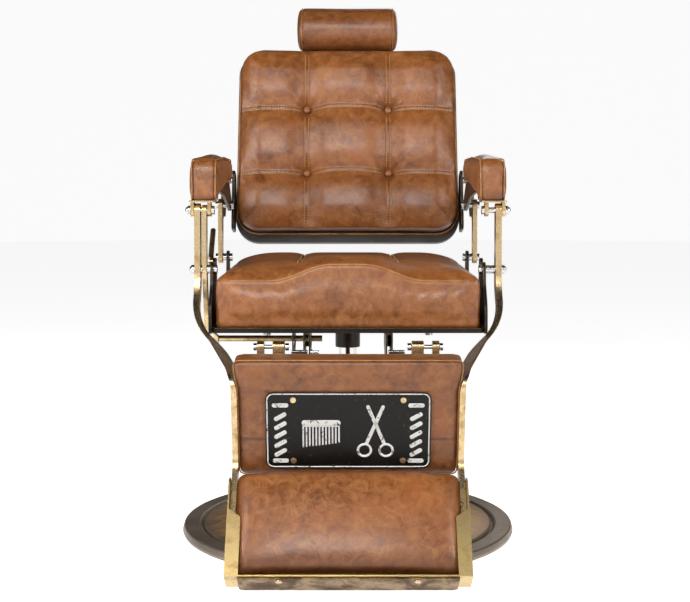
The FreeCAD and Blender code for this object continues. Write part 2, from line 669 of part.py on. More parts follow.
def build_headrest():
    sleeve = keep(new_body("headrest_sleeve"))
    slide_low = "stem_y-run_clear"
    slide_high = "stem_y+stem_thick+run_clear"
    pad(sleeve, "XY", rectangle("-stem_half-4", "stem_half+4", "stem_y-4", "stem_y+stem_thick+4"),
        "stem_low-10", "back_tall-5")
    cut(sleeve, "XY", rectangle("-stem_half-run_clear", "stem_half+run_clear", slide_low, slide_high),
        "stem_low-10", "back_tall-5")
    on_back(sleeve)
    knob = keep(new_body("clamp_knob"))
    pad(knob, "XZ", holes(("0", "back_tall-26", "4")), "stem_y+stem_thick+4+gap", "shell_rear+gap")
    pad(knob, "XZ", holes(("0", "back_tall-26", "14")), "shell_rear+gap", "shell_rear+18")
    round_edges(knob, "3", lambda edge: edge.BoundBox.YMin > value("shell_rear") + 17.9)
    on_back(knob)
    post = keep(new_body("headrest_post"))
    pad(post, "XY", rectangle("-stem_half", "stem_half", "stem_y", "stem_y+stem_thick"),
        "stem_low", "roll_z-6")
    on_back(post)
    roll = keep(new_body("headrest_cushion"))
    pad(roll, "YZ", holes(("roll_y", "roll_z", "roll_radius")), "-roll_half", "roll_half")
    round_edges(roll, "10", lambda edge: abs(edge.BoundBox.XMin) > value("roll_half") - 0.1)
    cut(roll, "XY", rectangle("-stem_half", "stem_half", "stem_y", "stem_y+stem_thick"),
        "roll_z-roll_radius", "roll_z-6")
    on_back(roll)


def rear_arm_outline():
    """The brass crank and the wing that carries the back's side bracket."""
    return [
        ("rear_y-14", "rear_z-14", "13.5"), ("rear_y+14", "rear_z-14", "13.5"),
        ("rear_y+15", "rear_z+crank-26", "14"), ("rear_y+72", "rear_z+crank-30", "22"),
        ("rear_y+98", "rear_z+crank+4", "30"), ("rear_y+112", "rear_z+crank+68", "12"),
        ("rear_y+86", "rear_z+crank+74", "12"), ("rear_y+68", "rear_z+crank+14", "20"),
        ("rear_y-14", "rear_z+crank+14", "13.5"),
    ]


def build_back_arms():
    heads = []
    for name, side in SIDES.items():
        arm = keep(new_body(f"rear_arm_{name}"))
        low, high = stations(side, "arm_in", "arm_out")
        pad(arm, "YZ", shape_of(rear_arm_outline()), low, high)
        cut(arm, "YZ", holes(("rear_y", "rear_z", "pin_radius+run_clear"),
                             ("rear_y", "rear_z+crank", "pin_radius")), low, high)
        bracket = keep(new_body(f"side_bracket_{name}"))
        low, high = stations(side, "bracket_in", "bracket_out")
        pad(bracket, "YZ", shape_of([
            ("6", "14", "14"), ("70", "14", "14"), ("78", "100", "20"), ("60", "152", "14"),
            ("10", "157", "12"),
        ]), low, high)
        on_back(bracket)
        for y, z in (("rear_y+80", "rear_z+crank+2"), ("rear_y+96", "rear_z+crank+56")):
            near, far = stations(side, "bracket_out", "arm_in")
            heads.append(rod("wing_spacer", "X", (near, y, z), "head_radius", f"({far})-({near})"))
            near, far = stations(side, "arm_out", "arm_out+5")
            heads.append(rod("wing_head", "X", (near, y, z), "head_radius-1", "5"))
        heads.append(bolt(f"armrest_pivot_{name}", side, "rail_in-gap", "arm_out+gap",
                          "rear_y", "rear_z+crank", "6", "6"))
    keep(grouped("back_bolts", heads))


# ---------------------------------------------------------------- armrests
def build_armrests():
    for name, side in SIDES.items():
        cushion = keep(new_body(f"armrest_pad_{name}"))
        low, high = stations(side, "armrest_in", "armrest_out")
        pad(cushion, "YZ", shape_of([
            ("armrest_front", "nose_low+gap", "10"), ("armrest_front+nose_depth", "nose_low+gap", "10"),
            ("armrest_front+nose_depth+14", "armrest_low+gap", "10"),
            ("armrest_rear", "armrest_low+gap", "10"), ("armrest_rear", "armrest_top-4", "22"),
            ("-60", "armrest_top", "300"), ("armrest_front+4", "armrest_top-10", "26"),
        ]), low, high)
        rail = keep(new_body(f"armrest_rail_{name}"))
        low, high = stations(side, "rail_in", "rail_in+rail_thick")
        pad(rail, "YZ", shape_of([
            ("rail_front", "armrest_low"), ("rail_front", "armrest_low-12", "6"),
            ("20", "armrest_low-32", "60"),
            ("rear_y-13", "rear_z+crank-13", "12.5"), ("rear_y+13", "rear_z+crank-13", "12.5"),
            ("rear_y+13", "rear_z+crank+14", "12"), ("armrest_rear-2", "armrest_low"),
        ]), low, high)
        cut(rail, "YZ", holes(("rear_y", "rear_z+crank", "pin_radius+run_clear")), low, high)
        low, high = stations(side, "rail_in+1", "armrest_out-4")
        pad(rail, "XY", rectangle(low, high, "rail_front+1", "armrest_rear-4"),
            "armrest_low-3.5", "armrest_low")
        fork = keep(new_body(f"armrest_fork_{name}"))
        low, high = stations(side, "armrest_in+8", "armrest_out")
        pad(fork, "XY", rectangle(low, high, "armrest_front+8", "front_y+16", "5"),
            "nose_low-3.5", "nose_low")
        ear = [
            ("front_y-13", "nose_low-1"), ("front_y-13", "front_z+crank-13", "12.5"),
            ("front_y+13", "front_z+crank-13", "12.5"), ("front_y+13", "nose_low-1"),
        ]
        for inner in ("lever_out+fork_clear", "drive_in-2-fork_thick"):
            low, high = stations(side, inner, f"{inner}+fork_thick")
            pad(fork, "YZ", shape_of(ear), low, high)
            cut(fork, "YZ", holes(("front_y", "front_z+crank", "pin_radius+fork_hole_clear")), low, high)


# ---------------------------------------------------------------- levers, leg panel and footrest
def lever_outline():
    """The lever's side view: an upright crank that sweeps forward to the leg panel's edge,
    runs down beside the panel and turns forward again into the footrest tray."""
    return [
        ("front_y-lever_half", "front_z+crank+14", "13.5"), ("front_y-lever_half", "front_z-32", "90"),
        ("front_y-98", "front_z-130", "60"), ("front_y-279", "front_z-180", "24"),
        ("front_y-239", "front_z-341", "30"), ("front_y-322", "front_z-448", "10"),
        ("front_y-300", "front_z-466", "10"), ("front_y-208", "front_z-347", "58"),
        ("front_y-245", "front_z-200", "8"), ("front_y-82", "front_z-154", "88"),
        ("front_y+lever_half", "front_z-42", "62"), ("front_y+lever_half", "front_z+crank+14", "13.5"),
    ]


def lever_waste(side, outer):
    """The stock beside the lever's front view, outside it or inside it: the lever runs down
    past the seat, then bends in to the edge of the leg panel."""
    far = "lever_in+120"
    near = "panel_half-60"
    if outer:
        path = [
            ("lever_out", "front_z+200"), ("lever_out", "bend_top+6", "90"),
            ("panel_bar_out", "bend_low+6", "46"), ("panel_bar_out", "front_z-560"),
        ]
        edge = far
    else:
        path = [
            ("lever_in", "front_z+200"), ("lever_in", "bend_top", "78"),
            ("panel_bar_out-lever_thick+1", "bend_low", "58"),
            ("panel_bar_out-lever_thick+1", "front_z-560"),
        ]
        edge = near
    corners = path + [(edge, "front_z-560"), (edge, "front_z+200")]
    return [(f"{side}*({x})", *rest) for x, *rest in corners]


def build_levers():
    for name, side in SIDES.items():
        lever = keep(new_body(f"lever_{name}"))
        low, high = stations(side, "panel_half-40", "lever_out+60")
        pad(lever, "YZ", shape_of(lever_outline()), low, high)
        for outer in (True, False):
            cut(lever, "XZ", shape_of(lever_waste(side, outer)), "front_y-500", "front_y+200")
        low, high = stations(side, "lever_in-1", "lever_out+1")
        cut(lever, "YZ", holes(("front_y", "front_z", "pin_radius+run_clear"),
                               ("front_y", "front_z+crank", "pin_radius")), low, high)
    drive = keep(new_body("drive_bar"))
    low, high = stations(-1, "drive_in-30", "drive_out")
    pad(drive, "YZ", shape_of([
        ("front_y-drive_half", "front_z+crank+11", "10.5"), ("front_y-drive_half", "front_z-4", "30"),
        ("shaft_y-7", "shaft_z-16", "8"), ("shaft_y+14", "shaft_z-10", "8"),
        ("front_y+drive_half", "front_z+2", "30"), ("front_y+drive_half", "front_z+crank+11", "10.5"),
    ]), low, high)
    bent = "drive_in-18.5"
    cut(drive, "XZ", shape_of([
        ("-drive_in", "front_z+200"), ("-drive_in", "shaft_z+22", "12"), (f"-({bent})", "shaft_z+5", "6"),
        (f"-({bent})", "shaft_z-40"), ("-drive_in+60", "shaft_z-40"), ("-drive_in+60", "front_z+200"),
    ]), "front_y-60", "shaft_y+60")
    cut(drive, "XZ", shape_of([
        ("-drive_in-drive_thick", "shaft_z+26", "12"), (f"-({bent})-drive_thick", "shaft_z+9", "6"),
        (f"-({bent})-drive_thick", "shaft_z-40"), ("-drive_in-drive_thick-20", "shaft_z-40"),
        ("-drive_in-drive_thick-20", "shaft_z+60"), ("-drive_in-drive_thick", "shaft_z+60"),
    ]), "front_y-60", "shaft_y+60")
    low, high = stations(-1, "drive_in-2", "drive_out+1")
    cut(drive, "YZ", holes(("front_y", "front_z", "pin_radius+run_clear"),
                           ("front_y", "front_z+crank", "pin_radius")), low, high)
    shaft = rod("shaft_rod", "X", (f"-({bent})+gap", "shaft_y", "shaft_z"), "shaft_radius",
                f"{bent}-gap-shaft_inner_end")
    keep(shaft, "cross_shaft")
    bolts = []
    for name, side in SIDES.items():
        bolts.append(bolt(f"armrest_front_{name}", side, "drive_in-2-fork_thick-gap",
                          "fork_out+gap", "front_y", "front_z+crank", "6", "6"))
    keep(grouped("front_arm_bolts", bolts))


def build_leg_panel():
    panel_front = "panel_pad+gap"
    panel_rear = "panel_pad+gap+panel_board"
    cushion = keep(new_body("legrest_cushion"))
    pad(cushion, "YZ", shape_of([
        ("0", "0", "8"), ("panel_pad", "0"), ("panel_pad", "panel_tall"), ("0", "panel_tall", "16"),
    ]), "-panel_half", "panel_half")
    on_panel(cushion)
    board = keep(new_body("legrest_board"))
    pad(board, "XZ", rectangle("-panel_half", "panel_half", "3", "panel_tall-3", "10"),
        panel_front, panel_rear)
    on_panel(board)
    sign = keep(new_body("sign_plate"))
    sign_high = "sign_low+sign_tall"
    pad(sign, "XZ", rectangle("-sign_width/2", "sign_width/2", "sign_low", sign_high, "14"),
        "-sign_thick-gap", "-gap")
    pad(sign, "XZ", rectangle("-sign_width/2+5", "sign_width/2-5", "sign_low+5", f"{sign_high}-5", "10"),
        "-sign_thick-gap-1.2", "-sign_thick-gap+0.1")
    cut(sign, "XZ", rectangle("-sign_width/2+8", "sign_width/2-8", "sign_low+8", f"{sign_high}-8", "7"),
        "-sign_thick-gap-1.3", "-sign_thick-gap")
    on_panel(sign)
    screws = []
    for x in ("-101", "101"):
        for z in ("sign_low+17", f"{sign_high}-14"):
            screw = new_body("sign_screw")
            pad(screw, "XZ", holes((x, z, "5.5")), "-sign_thick-gap-2.5", "-sign_thick-gap")
            on_panel(screw)
            screws.append(screw)
    for x in ("-122", "122"):
        screw = new_body("apron_screw")
        pad(screw, "XZ", holes((x, "tray_deep-13", "6")), "-tray_wall*2-gap-3", "-tray_wall*2-gap")
        on_tray(screw)
        screws.append(screw)
    keep(grouped("trim_screws", screws))
    lugs = []
    bolts = []
    hole = ("panel_pad+gap*2+panel_board+12", "panel_tall+6")
    for side in SIDES.values():
        for near, far in (("118", "140"), ("156", "169")):
            lug = new_body("lug")
            low, high = stations(side, near, far)
            pad(lug, "YZ", shape_of([
                (f"{panel_rear}+gap", "panel_tall-46"), (f"{panel_rear}+14", "panel_tall-40", "8"),
                (f"{panel_rear}+24", "panel_tall+6", "10"), (f"{panel_rear}+20", "panel_tall+17", "8"),
                (f"{panel_rear}+gap", "panel_tall+16", "6"),
            ]), low, high)
            cut(lug, "YZ", holes((*hole, "lug_bolt_radius")), low, high)
            on_panel(lug)
            lugs.append(lug)
        pin = new_body("lug_bolt")
        low, high = stations(side, "110", "175")
        pad(pin, "YZ", holes((*hole, "lug_bolt_radius")), low, high)
        for near, far in (("110", "117"), ("170", "176")):
            low, high = stations(side, near, far)
            pad(pin, "YZ", holes((*hole, "lug_bolt_radius+3")), low, high)
        on_panel(pin)
        bolts.append(pin)
    keep(grouped("legrest_lugs", lugs))
    keep(grouped("lug_bolts", bolts))


def build_footrest():
    tray = keep(new_body("footrest_tray"))
    pad(tray, "XY", rectangle("-tray_half", "tray_half", "0", "tray_length"), "-tray_wall", "0")
    for side in SIDES.values():
        low, high = stations(side, "tray_half-tray_wall", "tray_half")
        pad(tray, "YZ", shape_of([
            ("0", "-tray_wall"), ("tray_length", "-tray_wall"), ("tray_length", "tray_deep-12"),
            ("tray_length-12", "tray_deep"), ("0", "tray_deep"),
        ]), low, high)
        inner = f"{side}*(tray_half-tray_wall+1)"
        pad(tray, "XY", shape_of([
            (inner, "0"), (f"{side}*(tray_half-tray_flange)", "0"),
            (f"{side}*(tray_half-tray_flange)", "tray_length*0.57"), (inner, "tray_length*0.66"),
        ]), "tray_deep-tray_wall", "tray_deep")
    pad(tray, "XZ", rectangle("-tray_half", "tray_half", "-tray_wall", "tray_deep"), "-tray_wall", "0.1")
    on_tray(tray)
    apron = keep(new_body("footrest_apron"))
    pad(apron, "XZ", shape_of([
        ("-apron_half", "-tray_wall-8", "10"), ("apron_half", "-tray_wall-8", "10"),
        ("apron_half", "tray_deep-4"), ("-apron_half", "tray_deep-4"),
    ]), "-tray_wall*2-gap", "-tray_wall-gap")
    on_tray(apron)
    cushion = keep(new_body("footrest_pad"))
    pad(cushion, "YZ", shape_of([
        ("2", "gap"), ("tray_length", "gap"), ("tray_length", "tray_deep-8", "20"),
        ("tray_length*0.5", "tray_deep+foot_crown", "160"), ("2", "tray_deep-2", "14"),
    ]), "-foot_half", "foot_half")
    on_tray(cushion)


build_base()
build_pump()
build_pedal()
build_seat()
build_under_seat()
build_pivots()
build_handle()
build_back()
build_headrest()
build_back_arms()
build_armrests()
build_levers()
build_leg_panel()
build_footrest()

# ---------------------------------------------------------------- checks and export
doc.recompute()
for item in doc.Objects:
    if "Invalid" in item.State or "Error" in item.State:
        raise RuntimeError(f"{item.Label} failed: {item.State}")
for node in nodes:
    if node.Shape.isNull() or not node.Shape.isValid() or not node.Shape.Solids:
        raise RuntimeError(f"{node.Label} has no valid solid")
for node in nodes:
    node.Shape.exportStep(f"parts/{node.Label}.step")
print(f"{len(nodes)} nodes written")
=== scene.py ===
# %% [markdown]
# A barber chair with a buttoned leather back, antique brass levers and a round metal base.
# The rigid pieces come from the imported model, which is loaded first and never moved. This file adds
# the upholstery, the small hardware and every finish. All lengths are in metres, with the chair facing
# -Y, so the frame's own places can be used as they are.

# %% load the frame
import json
import math
from math import cos, pi, radians, sin

import bmesh
import bpy
import numpy as np
from mathutils import Matrix, Vector
from mathutils.bvhtree import BVHTree


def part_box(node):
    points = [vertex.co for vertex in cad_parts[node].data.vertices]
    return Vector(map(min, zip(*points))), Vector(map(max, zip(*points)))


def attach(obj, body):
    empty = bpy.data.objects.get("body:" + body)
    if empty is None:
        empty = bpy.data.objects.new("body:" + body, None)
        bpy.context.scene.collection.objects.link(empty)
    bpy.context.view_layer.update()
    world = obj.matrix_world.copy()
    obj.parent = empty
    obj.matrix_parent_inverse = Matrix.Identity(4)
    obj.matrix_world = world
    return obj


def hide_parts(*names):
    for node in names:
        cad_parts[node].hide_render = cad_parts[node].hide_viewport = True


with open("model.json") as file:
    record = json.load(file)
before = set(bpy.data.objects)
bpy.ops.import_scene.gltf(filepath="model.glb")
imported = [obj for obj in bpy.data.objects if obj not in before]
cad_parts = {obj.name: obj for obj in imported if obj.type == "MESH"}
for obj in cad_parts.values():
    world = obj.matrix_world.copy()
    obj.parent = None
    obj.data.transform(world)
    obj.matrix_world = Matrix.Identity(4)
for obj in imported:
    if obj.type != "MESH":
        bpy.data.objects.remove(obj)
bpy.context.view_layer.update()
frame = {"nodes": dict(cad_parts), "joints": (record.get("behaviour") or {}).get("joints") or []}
MM = 0.001
scene = bpy.context.scene

# %% [markdown]
# The camera and light. The chair is seen from straight in front, a little above the seat, with a longish
# lens. The floor and the room are both almost white, so the chair stands in plain light. A large panel
# above and in front gives the leather its broad highlights, one at each side picks out the brass bars,
# and a wide, weak one behind the camera fills in the front.

# %% camera, floor and lamps
CAMERA_PLACE = Vector((-0.006, -2.839, 0.774))
CAMERA_PITCH = radians(2.52)
camera_data = bpy.data.cameras.new("camera")
camera_data.lens = 68.04
camera_data.sensor_width = 36.0
camera_data.shift_y = -0.10
camera = bpy.data.objects.new("camera", camera_data)
camera.location = CAMERA_PLACE
camera.rotation_euler = (pi / 2 - CAMERA_PITCH, 0, 0)
scene.collection.objects.link(camera)
scene.camera = camera
scene.view_settings.view_transform = "Standard"
scene.view_settings.look = "None"


def lamp(name, place, aim, size, power):
    """A soft rectangular lamp that looks at a point."""
    data = bpy.data.lights.new(name, "AREA")
    data.shape = "RECTANGLE"
    data.size, data.size_y = size
    data.energy = power
    made = bpy.data.objects.new(name, data)
    made.location = place
    made.rotation_euler = (Vector(aim) - Vector(place)).to_track_quat("-Z", "Y").to_euler()
    scene.collection.objects.link(made)


lamp("top_lamp", (-0.4, -2.7, 1.9), (0, 0, 0.6), (1.6, 0.8), 50)
lamp("left_lamp", (-2.3, -1.3, 1.3), (0, 0, 0.6), (0.6, 1.6), 36)
lamp("right_lamp", (2.3, -1.5, 1.3), (0, 0, 0.6), (0.6, 1.6), 32)
lamp("front_lamp", (0, -4.6, 1.0), (0, 0, 0.5), (5.0, 1.6), 18)
lamp("back_lamp", (0.8, 2.3, 1.9), (0, 0, 0.8), (1.6, 1.2), 12)
world = bpy.data.worlds.new("studio")
world.use_nodes = True
scene.world = world

# %% [markdown]
# Finishes are built from shader nodes, so that they need no pictures and no unwrapping. One small
# helper adds a node and joins it up in a single line: a setting that is a property of the node is set
# on it, and any other is one of its inputs, given as a value or as another node's output.


# %% helpers for finishes
def paint(code):
    """A colour written as six hex digits, turned into the linear values that shaders use."""
    parts = [int(code[i:i + 2], 16) / 255 for i in (0, 2, 4)]
    return (*[p / 12.92 if p <= 0.04045 else ((p + 0.055) / 1.055) ** 2.4 for p in parts], 1.0)


def add(tree, kind, **settings):
    node = tree.nodes.new("ShaderNode" + kind)
    for key, setting in settings.items():
        if hasattr(node, key):
            setattr(node, key, setting)
            continue
        socket = node.inputs[key.replace("_", " ")]
        if isinstance(setting, bpy.types.NodeSocket):
            tree.links.new(setting, socket)
        else:
            socket.default_value = setting
    return node


def mixed(tree, share, first, second):
    """Blend two colours by a share from 0 to 1."""
    node = tree.nodes.new("ShaderNodeMix")
    node.data_type = "RGBA"
    for socket, setting in ((node.inputs[0], share), (node.inputs[6], first), (node.inputs[7], second)):
        if isinstance(setting, bpy.types.NodeSocket):
            tree.links.new(setting, socket)
        else:
            socket.default_value = setting
    return node.outputs[2]


def noise(tree, where, scale, detail=4.0, rough=0.55, warp=0.0):
    made = add(tree, "TexNoise", Vector=where, Scale=scale, Detail=detail, Roughness=rough,
               Distortion=warp)
    return made.outputs[0]


def spread(tree, value, low, high, to_low=0.0, to_high=1.0):
    """Stretch one range of a value over another, with both ends held."""
    made = add(tree, "MapRange", Value=value, From_Min=low, From_Max=high, To_Min=to_low, To_Max=to_high)
    return made.outputs[0]


def sums(tree, operation, first, second):
    made = tree.nodes.new("ShaderNodeMath")
    made.operation = operation
    for socket, setting in zip(made.inputs, (first, second)):
        if isinstance(setting, bpy.types.NodeSocket):
            tree.links.new(setting, socket)
        else:
            socket.default_value = setting
    return made.outputs[0]


def bump(tree, height, distance, strength=1.0, under=None):
    made = add(tree, "Bump", Height=height, Distance=distance, Strength=strength)
    if under is not None:
        tree.links.new(under, made.inputs["Normal"])
    return made.outputs[0]


def new_finish(name, **settings):
    """A material with one shader. Values that are the same all over go straight on its sockets."""
    made = bpy.data.materials.new(name)
    made.use_nodes = True
    tree = made.node_tree
    shader = tree.nodes["Principled BSDF"]
    for key, setting in settings.items():
        shader.inputs[key.replace("_", " ")].default_value = setting
    where = add(tree, "TexCoord").outputs["Object"]
    return made, tree, shader, where


def worn_edges(tree, width):
    """A mask that is 1 along sharp edges: the surface's own direction is compared with the one it
    would have if its edges were rounded over."""
    rounded = add(tree, "Bevel", Radius=width, samples=6).outputs[0]
    flat = add(tree, "NewGeometry").outputs["Normal"]
    match = add(tree, "VectorMath", operation="DOT_PRODUCT")
    tree.links.new(rounded, match.inputs[0])
    tree.links.new(flat, match.inputs[1])
    return spread(tree, match.outputs["Value"], 0.995, 0.86), rounded


# %% [markdown]
# The studio around the chair is a little brighter overhead than near the floor, as a room is.

# %% studio
tree = world.node_tree
towards = add(tree, "SeparateXYZ", Vector=add(tree, "TexCoord").outputs["Generated"]).outputs["Z"]
sky = spread(tree, towards, -0.35, 0.75, 0.4, 0.46)
tree.links.new(sky, tree.nodes["Background"].inputs["Strength"])
print("studio: a little brighter above")

# %% [markdown]
# The leather is a waxed cognac hide. Its colour comes in four layers: broad clouds, finer mottling,
# pale pull-up veins where the wax has cracked, and a darker tone along the seams and rims, part of
# which is painted shade: in the hollows round the buttons, over the whole headrest, on the undersides
# and where the tray's lip shades the footrest. Each cushion carries a value on its points, worked out
# while it is shaped, that says how much darker it is there. The grain is a field of small cells with
# creases between them, so it is real bump at a millimetre's scale.


# %% leather
def make_leather(name, dark, middle, light, pale):
    made, tree, shader, where = new_finish(name, Coat_Weight=0.3, Coat_Roughness=0.27,
                                           Specular_IOR_Level=0.46)
    clouds = noise(tree, where, 11, 5, 0.6, 0.4)
    mottle = noise(tree, where, 46, 6, 0.62, 0.8)
    shake = add(tree, "TexNoise", Vector=where, Scale=28.0, Detail=3.0)
    bend = add(tree, "VectorMath", operation="MULTIPLY_ADD")
    tree.links.new(shake.outputs["Color"], bend.inputs[0])
    bend.inputs[1].default_value = (0.022, 0.022, 0.022)
    tree.links.new(where, bend.inputs[2])
    veins = add(tree, "TexVoronoi", feature="DISTANCE_TO_EDGE", Vector=bend.outputs[0], Scale=52.0)
    darker_tone_and_shade = add(tree, "Attribute", attribute_name="darker_tone_and_shade").outputs["Fac"]
    tone = mixed(tree, spread(tree, clouds, 0.3, 0.7), paint(dark), paint(middle))
    tone = mixed(tree, spread(tree, mottle, 0.36, 0.72, 0.0, 0.8), tone, paint(light))
    crack = spread(tree, veins.outputs["Distance"], 0.0, 0.09, 1.0, 0.0)
    patchy = spread(tree, noise(tree, where, 20, 3), 0.46, 0.66)
    tone = mixed(tree, sums(tree, "MULTIPLY", sums(tree, "MULTIPLY", crack, patchy), 0.2), tone,
                 paint(pale))
    flecks = spread(tree, noise(tree, where, 210, 3, 0.7), 0.62, 0.74, 0.0, 0.35)
    tone = mixed(tree, flecks, tone, paint(dark))
    # Darker by the value stored on each point: the seams' and rims' own darker tone, plus painted shade in
    # the hollows, over the headrest, underneath and behind the tray's lip.
    tone = mixed(tree, sums(tree, "MULTIPLY", darker_tone_and_shade, 0.72), tone, paint("3d1d0d"))
    tree.links.new(tone, shader.inputs["Base Color"])
    tree.links.new(spread(tree, mottle, 0.3, 0.75, 0.27, 0.45), shader.inputs["Roughness"])
    cells = add(tree, "TexVoronoi", feature="DISTANCE_TO_EDGE", Vector=where, Scale=560.0)
    grain = bump(tree, spread(tree, cells.outputs["Distance"], 0.0, 0.25), 0.00018, 0.7)
    creases = bump(tree, noise(tree, where, 95, 5, 0.6, 1.6), 0.0012, 0.35, grain)
    tree.links.new(bump(tree, noise(tree, where, 17, 3), 0.004, 0.3, creases), shader.inputs["Normal"])
    return made


leather = make_leather("cognac_leather", "683613", "9c5928", "b97842", "dca76f")
piping_leather = make_leather("piping_leather", "8c5422", "b8783a", "cf9450", "e2b67c")

# %% [markdown]
# The brass is aged: pale gold where hands polish it, brown spots where it isn't touched, and dark
# crumbs along its cut edges. Steel, the black frame and the base are variations of the same recipe:
# a main colour, a stain in patches, and a mask along the edges that shows what is under the coating.


# %% metals
def make_metal(name, main, stain, edge, gloss, stain_scale=42.0, stain_at=(0.5, 0.66), shine=1.0,
               edge_share=0.8, brush=(1.0, 1.0, 1.0), edge_width=0.0016):
    made, tree, shader, where = new_finish(name, Metallic=shine)
    stretch = add(tree, "Mapping", Vector=where, Scale=brush).outputs[0]
    patches = spread(tree, noise(tree, stretch, stain_scale, 6, 0.68, 0.5), *stain_at)
    fine = noise(tree, stretch, 380, 4, 0.7)
    mask, rounded = worn_edges(tree, edge_width)
    ragged = sums(tree, "MULTIPLY", mask, spread(tree, noise(tree, where, 130, 4, 0.7), 0.36, 0.56))
    tone = mixed(tree, patches, paint(main), paint(stain))
    tone = mixed(tree, spread(tree, fine, 0.35, 0.7, 0.0, 0.3), tone, paint(stain))
    tone = mixed(tree, sums(tree, "MULTIPLY", ragged, edge_share), tone, paint(edge))
    tree.links.new(tone, shader.inputs["Base Color"])
    dull = sums(tree, "ADD", spread(tree, patches, 0, 1, gloss[0], gloss[1]),
                spread(tree, fine, 0.3, 0.7, -0.04, 0.07))
    tree.links.new(dull, shader.inputs["Roughness"])
    tree.links.new(bump(tree, fine, 0.0002, 0.5, rounded), shader.inputs["Normal"])
    return made


brass = make_metal("antique_brass", "ccb48a", "96774c", "3f2810", (0.26, 0.48), 34.0, (0.48, 0.7),
                   edge_share=0.45, edge_width=0.0011)
tray_brass = make_metal("tray_brass", "c9b07a", "8a6a3c", "4a3214", (0.3, 0.46), 30.0, (0.52, 0.74),
                        edge_share=0.6, edge_width=0.0009)
# Darker and rougher brass, for the footrest's apron.
darker_brass = make_metal("darker_brass", "8a7048", "4a3520", "2a1a0c", (0.34, 0.55), 26.0, (0.4, 0.6))
bright_steel = make_metal("bright_steel", "c9c9cb", "8b8b8e", "e8e8e8", (0.2, 0.4), 60.0, (0.55, 0.8))
chrome = make_metal("chrome_rod", "dcdcde", "b4b4b6", "f2f2f2", (0.07, 0.2), 24.0, (0.58, 0.85))
black_steel = make_metal("black_steel", "2a2420", "3c3028", "b9935a", (0.38, 0.55), 50.0, (0.52, 0.7),
                         0.7, 0.75)
shell_finish = make_metal("shell_lacquer", "1f1813", "2b2119", "6b5236", (0.5, 0.62), 16.0, (0.45, 0.7),
                          0.2, 0.4)


def make_base_metal():
    """Dark cast metal whose dome has been rubbed back to copper in long streaks round its rise."""
    made, tree, shader, where = new_finish("rubbed_base_metal", Metallic=0.65)
    streaks = noise(tree, add(tree, "Mapping", Vector=where, Scale=(1.0, 2.6, 6.0)).outputs[0],
                    13, 7, 0.7, 1.3)
    clouds = noise(tree, where, 5, 3, 0.5, 0.6)
    parts = add(tree, "SeparateXYZ", Vector=where)
    reach = add(tree, "VectorMath", operation="LENGTH")
    flat = add(tree, "CombineXYZ", X=parts.outputs[0], Y=parts.outputs[1])
    tree.links.new(flat.outputs[0], reach.inputs[0])
    on_dome = spread(tree, reach.outputs["Value"], 0.318, 0.290)
    rubbed = sums(tree, "MULTIPLY", spread(tree, streaks, 0.36, 0.6), on_dome)
    tone = mixed(tree, spread(tree, clouds, 0.35, 0.65), paint("7f7264"), paint("9c8d7e"))
    tone = mixed(tree, sums(tree, "MULTIPLY", rubbed, 0.9), tone, paint("dba96f"))
    mask, rounded = worn_edges(tree, 0.003)
    tone = mixed(tree, sums(tree, "MULTIPLY", mask, 0.5), tone, paint("8b847c"))
    tree.links.new(tone, shader.inputs["Base Color"])
    tree.links.new(spread(tree, streaks, 0.3, 0.7, 0.34, 0.56), shader.inputs["Roughness"])
    tree.links.new(bump(tree, noise(tree, where, 150, 5, 0.65), 0.0006, 0.5, rounded),
                   shader.inputs["Normal"])
    return made


base_metal = make_base_metal()
print("metals made")

# %% [markdown]
# The quiet finishes: rubber with a fine pebble, plywood with long grain, black plastic, waxed thread,
# and the sign's enamel, chipped so that its tin shows. Each still has its own grain and wear.


# %% rubber, wood, plastic, thread and enamel
def make_plain(name, main, second, scale, rough, depth, stretch=(1, 1, 1), spec=0.4, chips=None,
               chip_at=0.62):
    made, tree, shader, where = new_finish(name, Specular_IOR_Level=spec)
    along = add(tree, "Mapping", Vector=where, Scale=stretch).outputs[0]
    pattern = noise(tree, along, scale, 6, 0.65, 0.3)
    tone = mixed(tree, spread(tree, pattern, 0.32, 0.68), paint(main), paint(second))
    if chips:
        chipped = spread(tree, noise(tree, where, 120, 6, 0.75, 0.6), chip_at, chip_at + 0.04)
        tone = mixed(tree, chipped, tone, paint(chips))
    tree.links.new(tone, shader.inputs["Base Color"])
    tree.links.new(spread(tree, pattern, 0.3, 0.7, rough - 0.07, rough + 0.08), shader.inputs["Roughness"])
    fine = bump(tree, noise(tree, along, scale * 6, 4), depth, 0.6)
    tree.links.new(bump(tree, pattern, depth * 2, 0.4, fine), shader.inputs["Normal"])
    return made


rubber = make_plain("pedal_rubber", "1a1a1a", "2b2a29", 260, 0.72, 0.0003)
plywood = make_plain("plywood", "8c6a42", "b08c5c", 60, 0.6, 0.0003, (0.12, 1, 1))
plastic = make_plain("black_plastic", "101010", "1d1d1d", 300, 0.42, 0.0001)
thread = make_plain("waxed_thread", "b9823f", "d8a868", 700, 0.55, 0.0001)
black_enamel = make_plain("black_enamel", "0c0b0a", "171411", 30, 0.42, 0.0001, spec=0.22, chips="5a3f28")
white_enamel = make_plain("white_enamel", "f2f0ea", "fbfaf6", 40, 0.34, 0.0001, spec=0.6, chips="2a221c",
                          chip_at=0.56)
floor_paint = make_plain("floor_paint", "f4f4f4", "fafafa", 4, 0.75, 0.00001)

# %% [markdown]
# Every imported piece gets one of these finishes. The list says what each is made of on a chair of
# this kind: the frame under the seat is black steel, the levers and the tray are brass, the nuts bright.

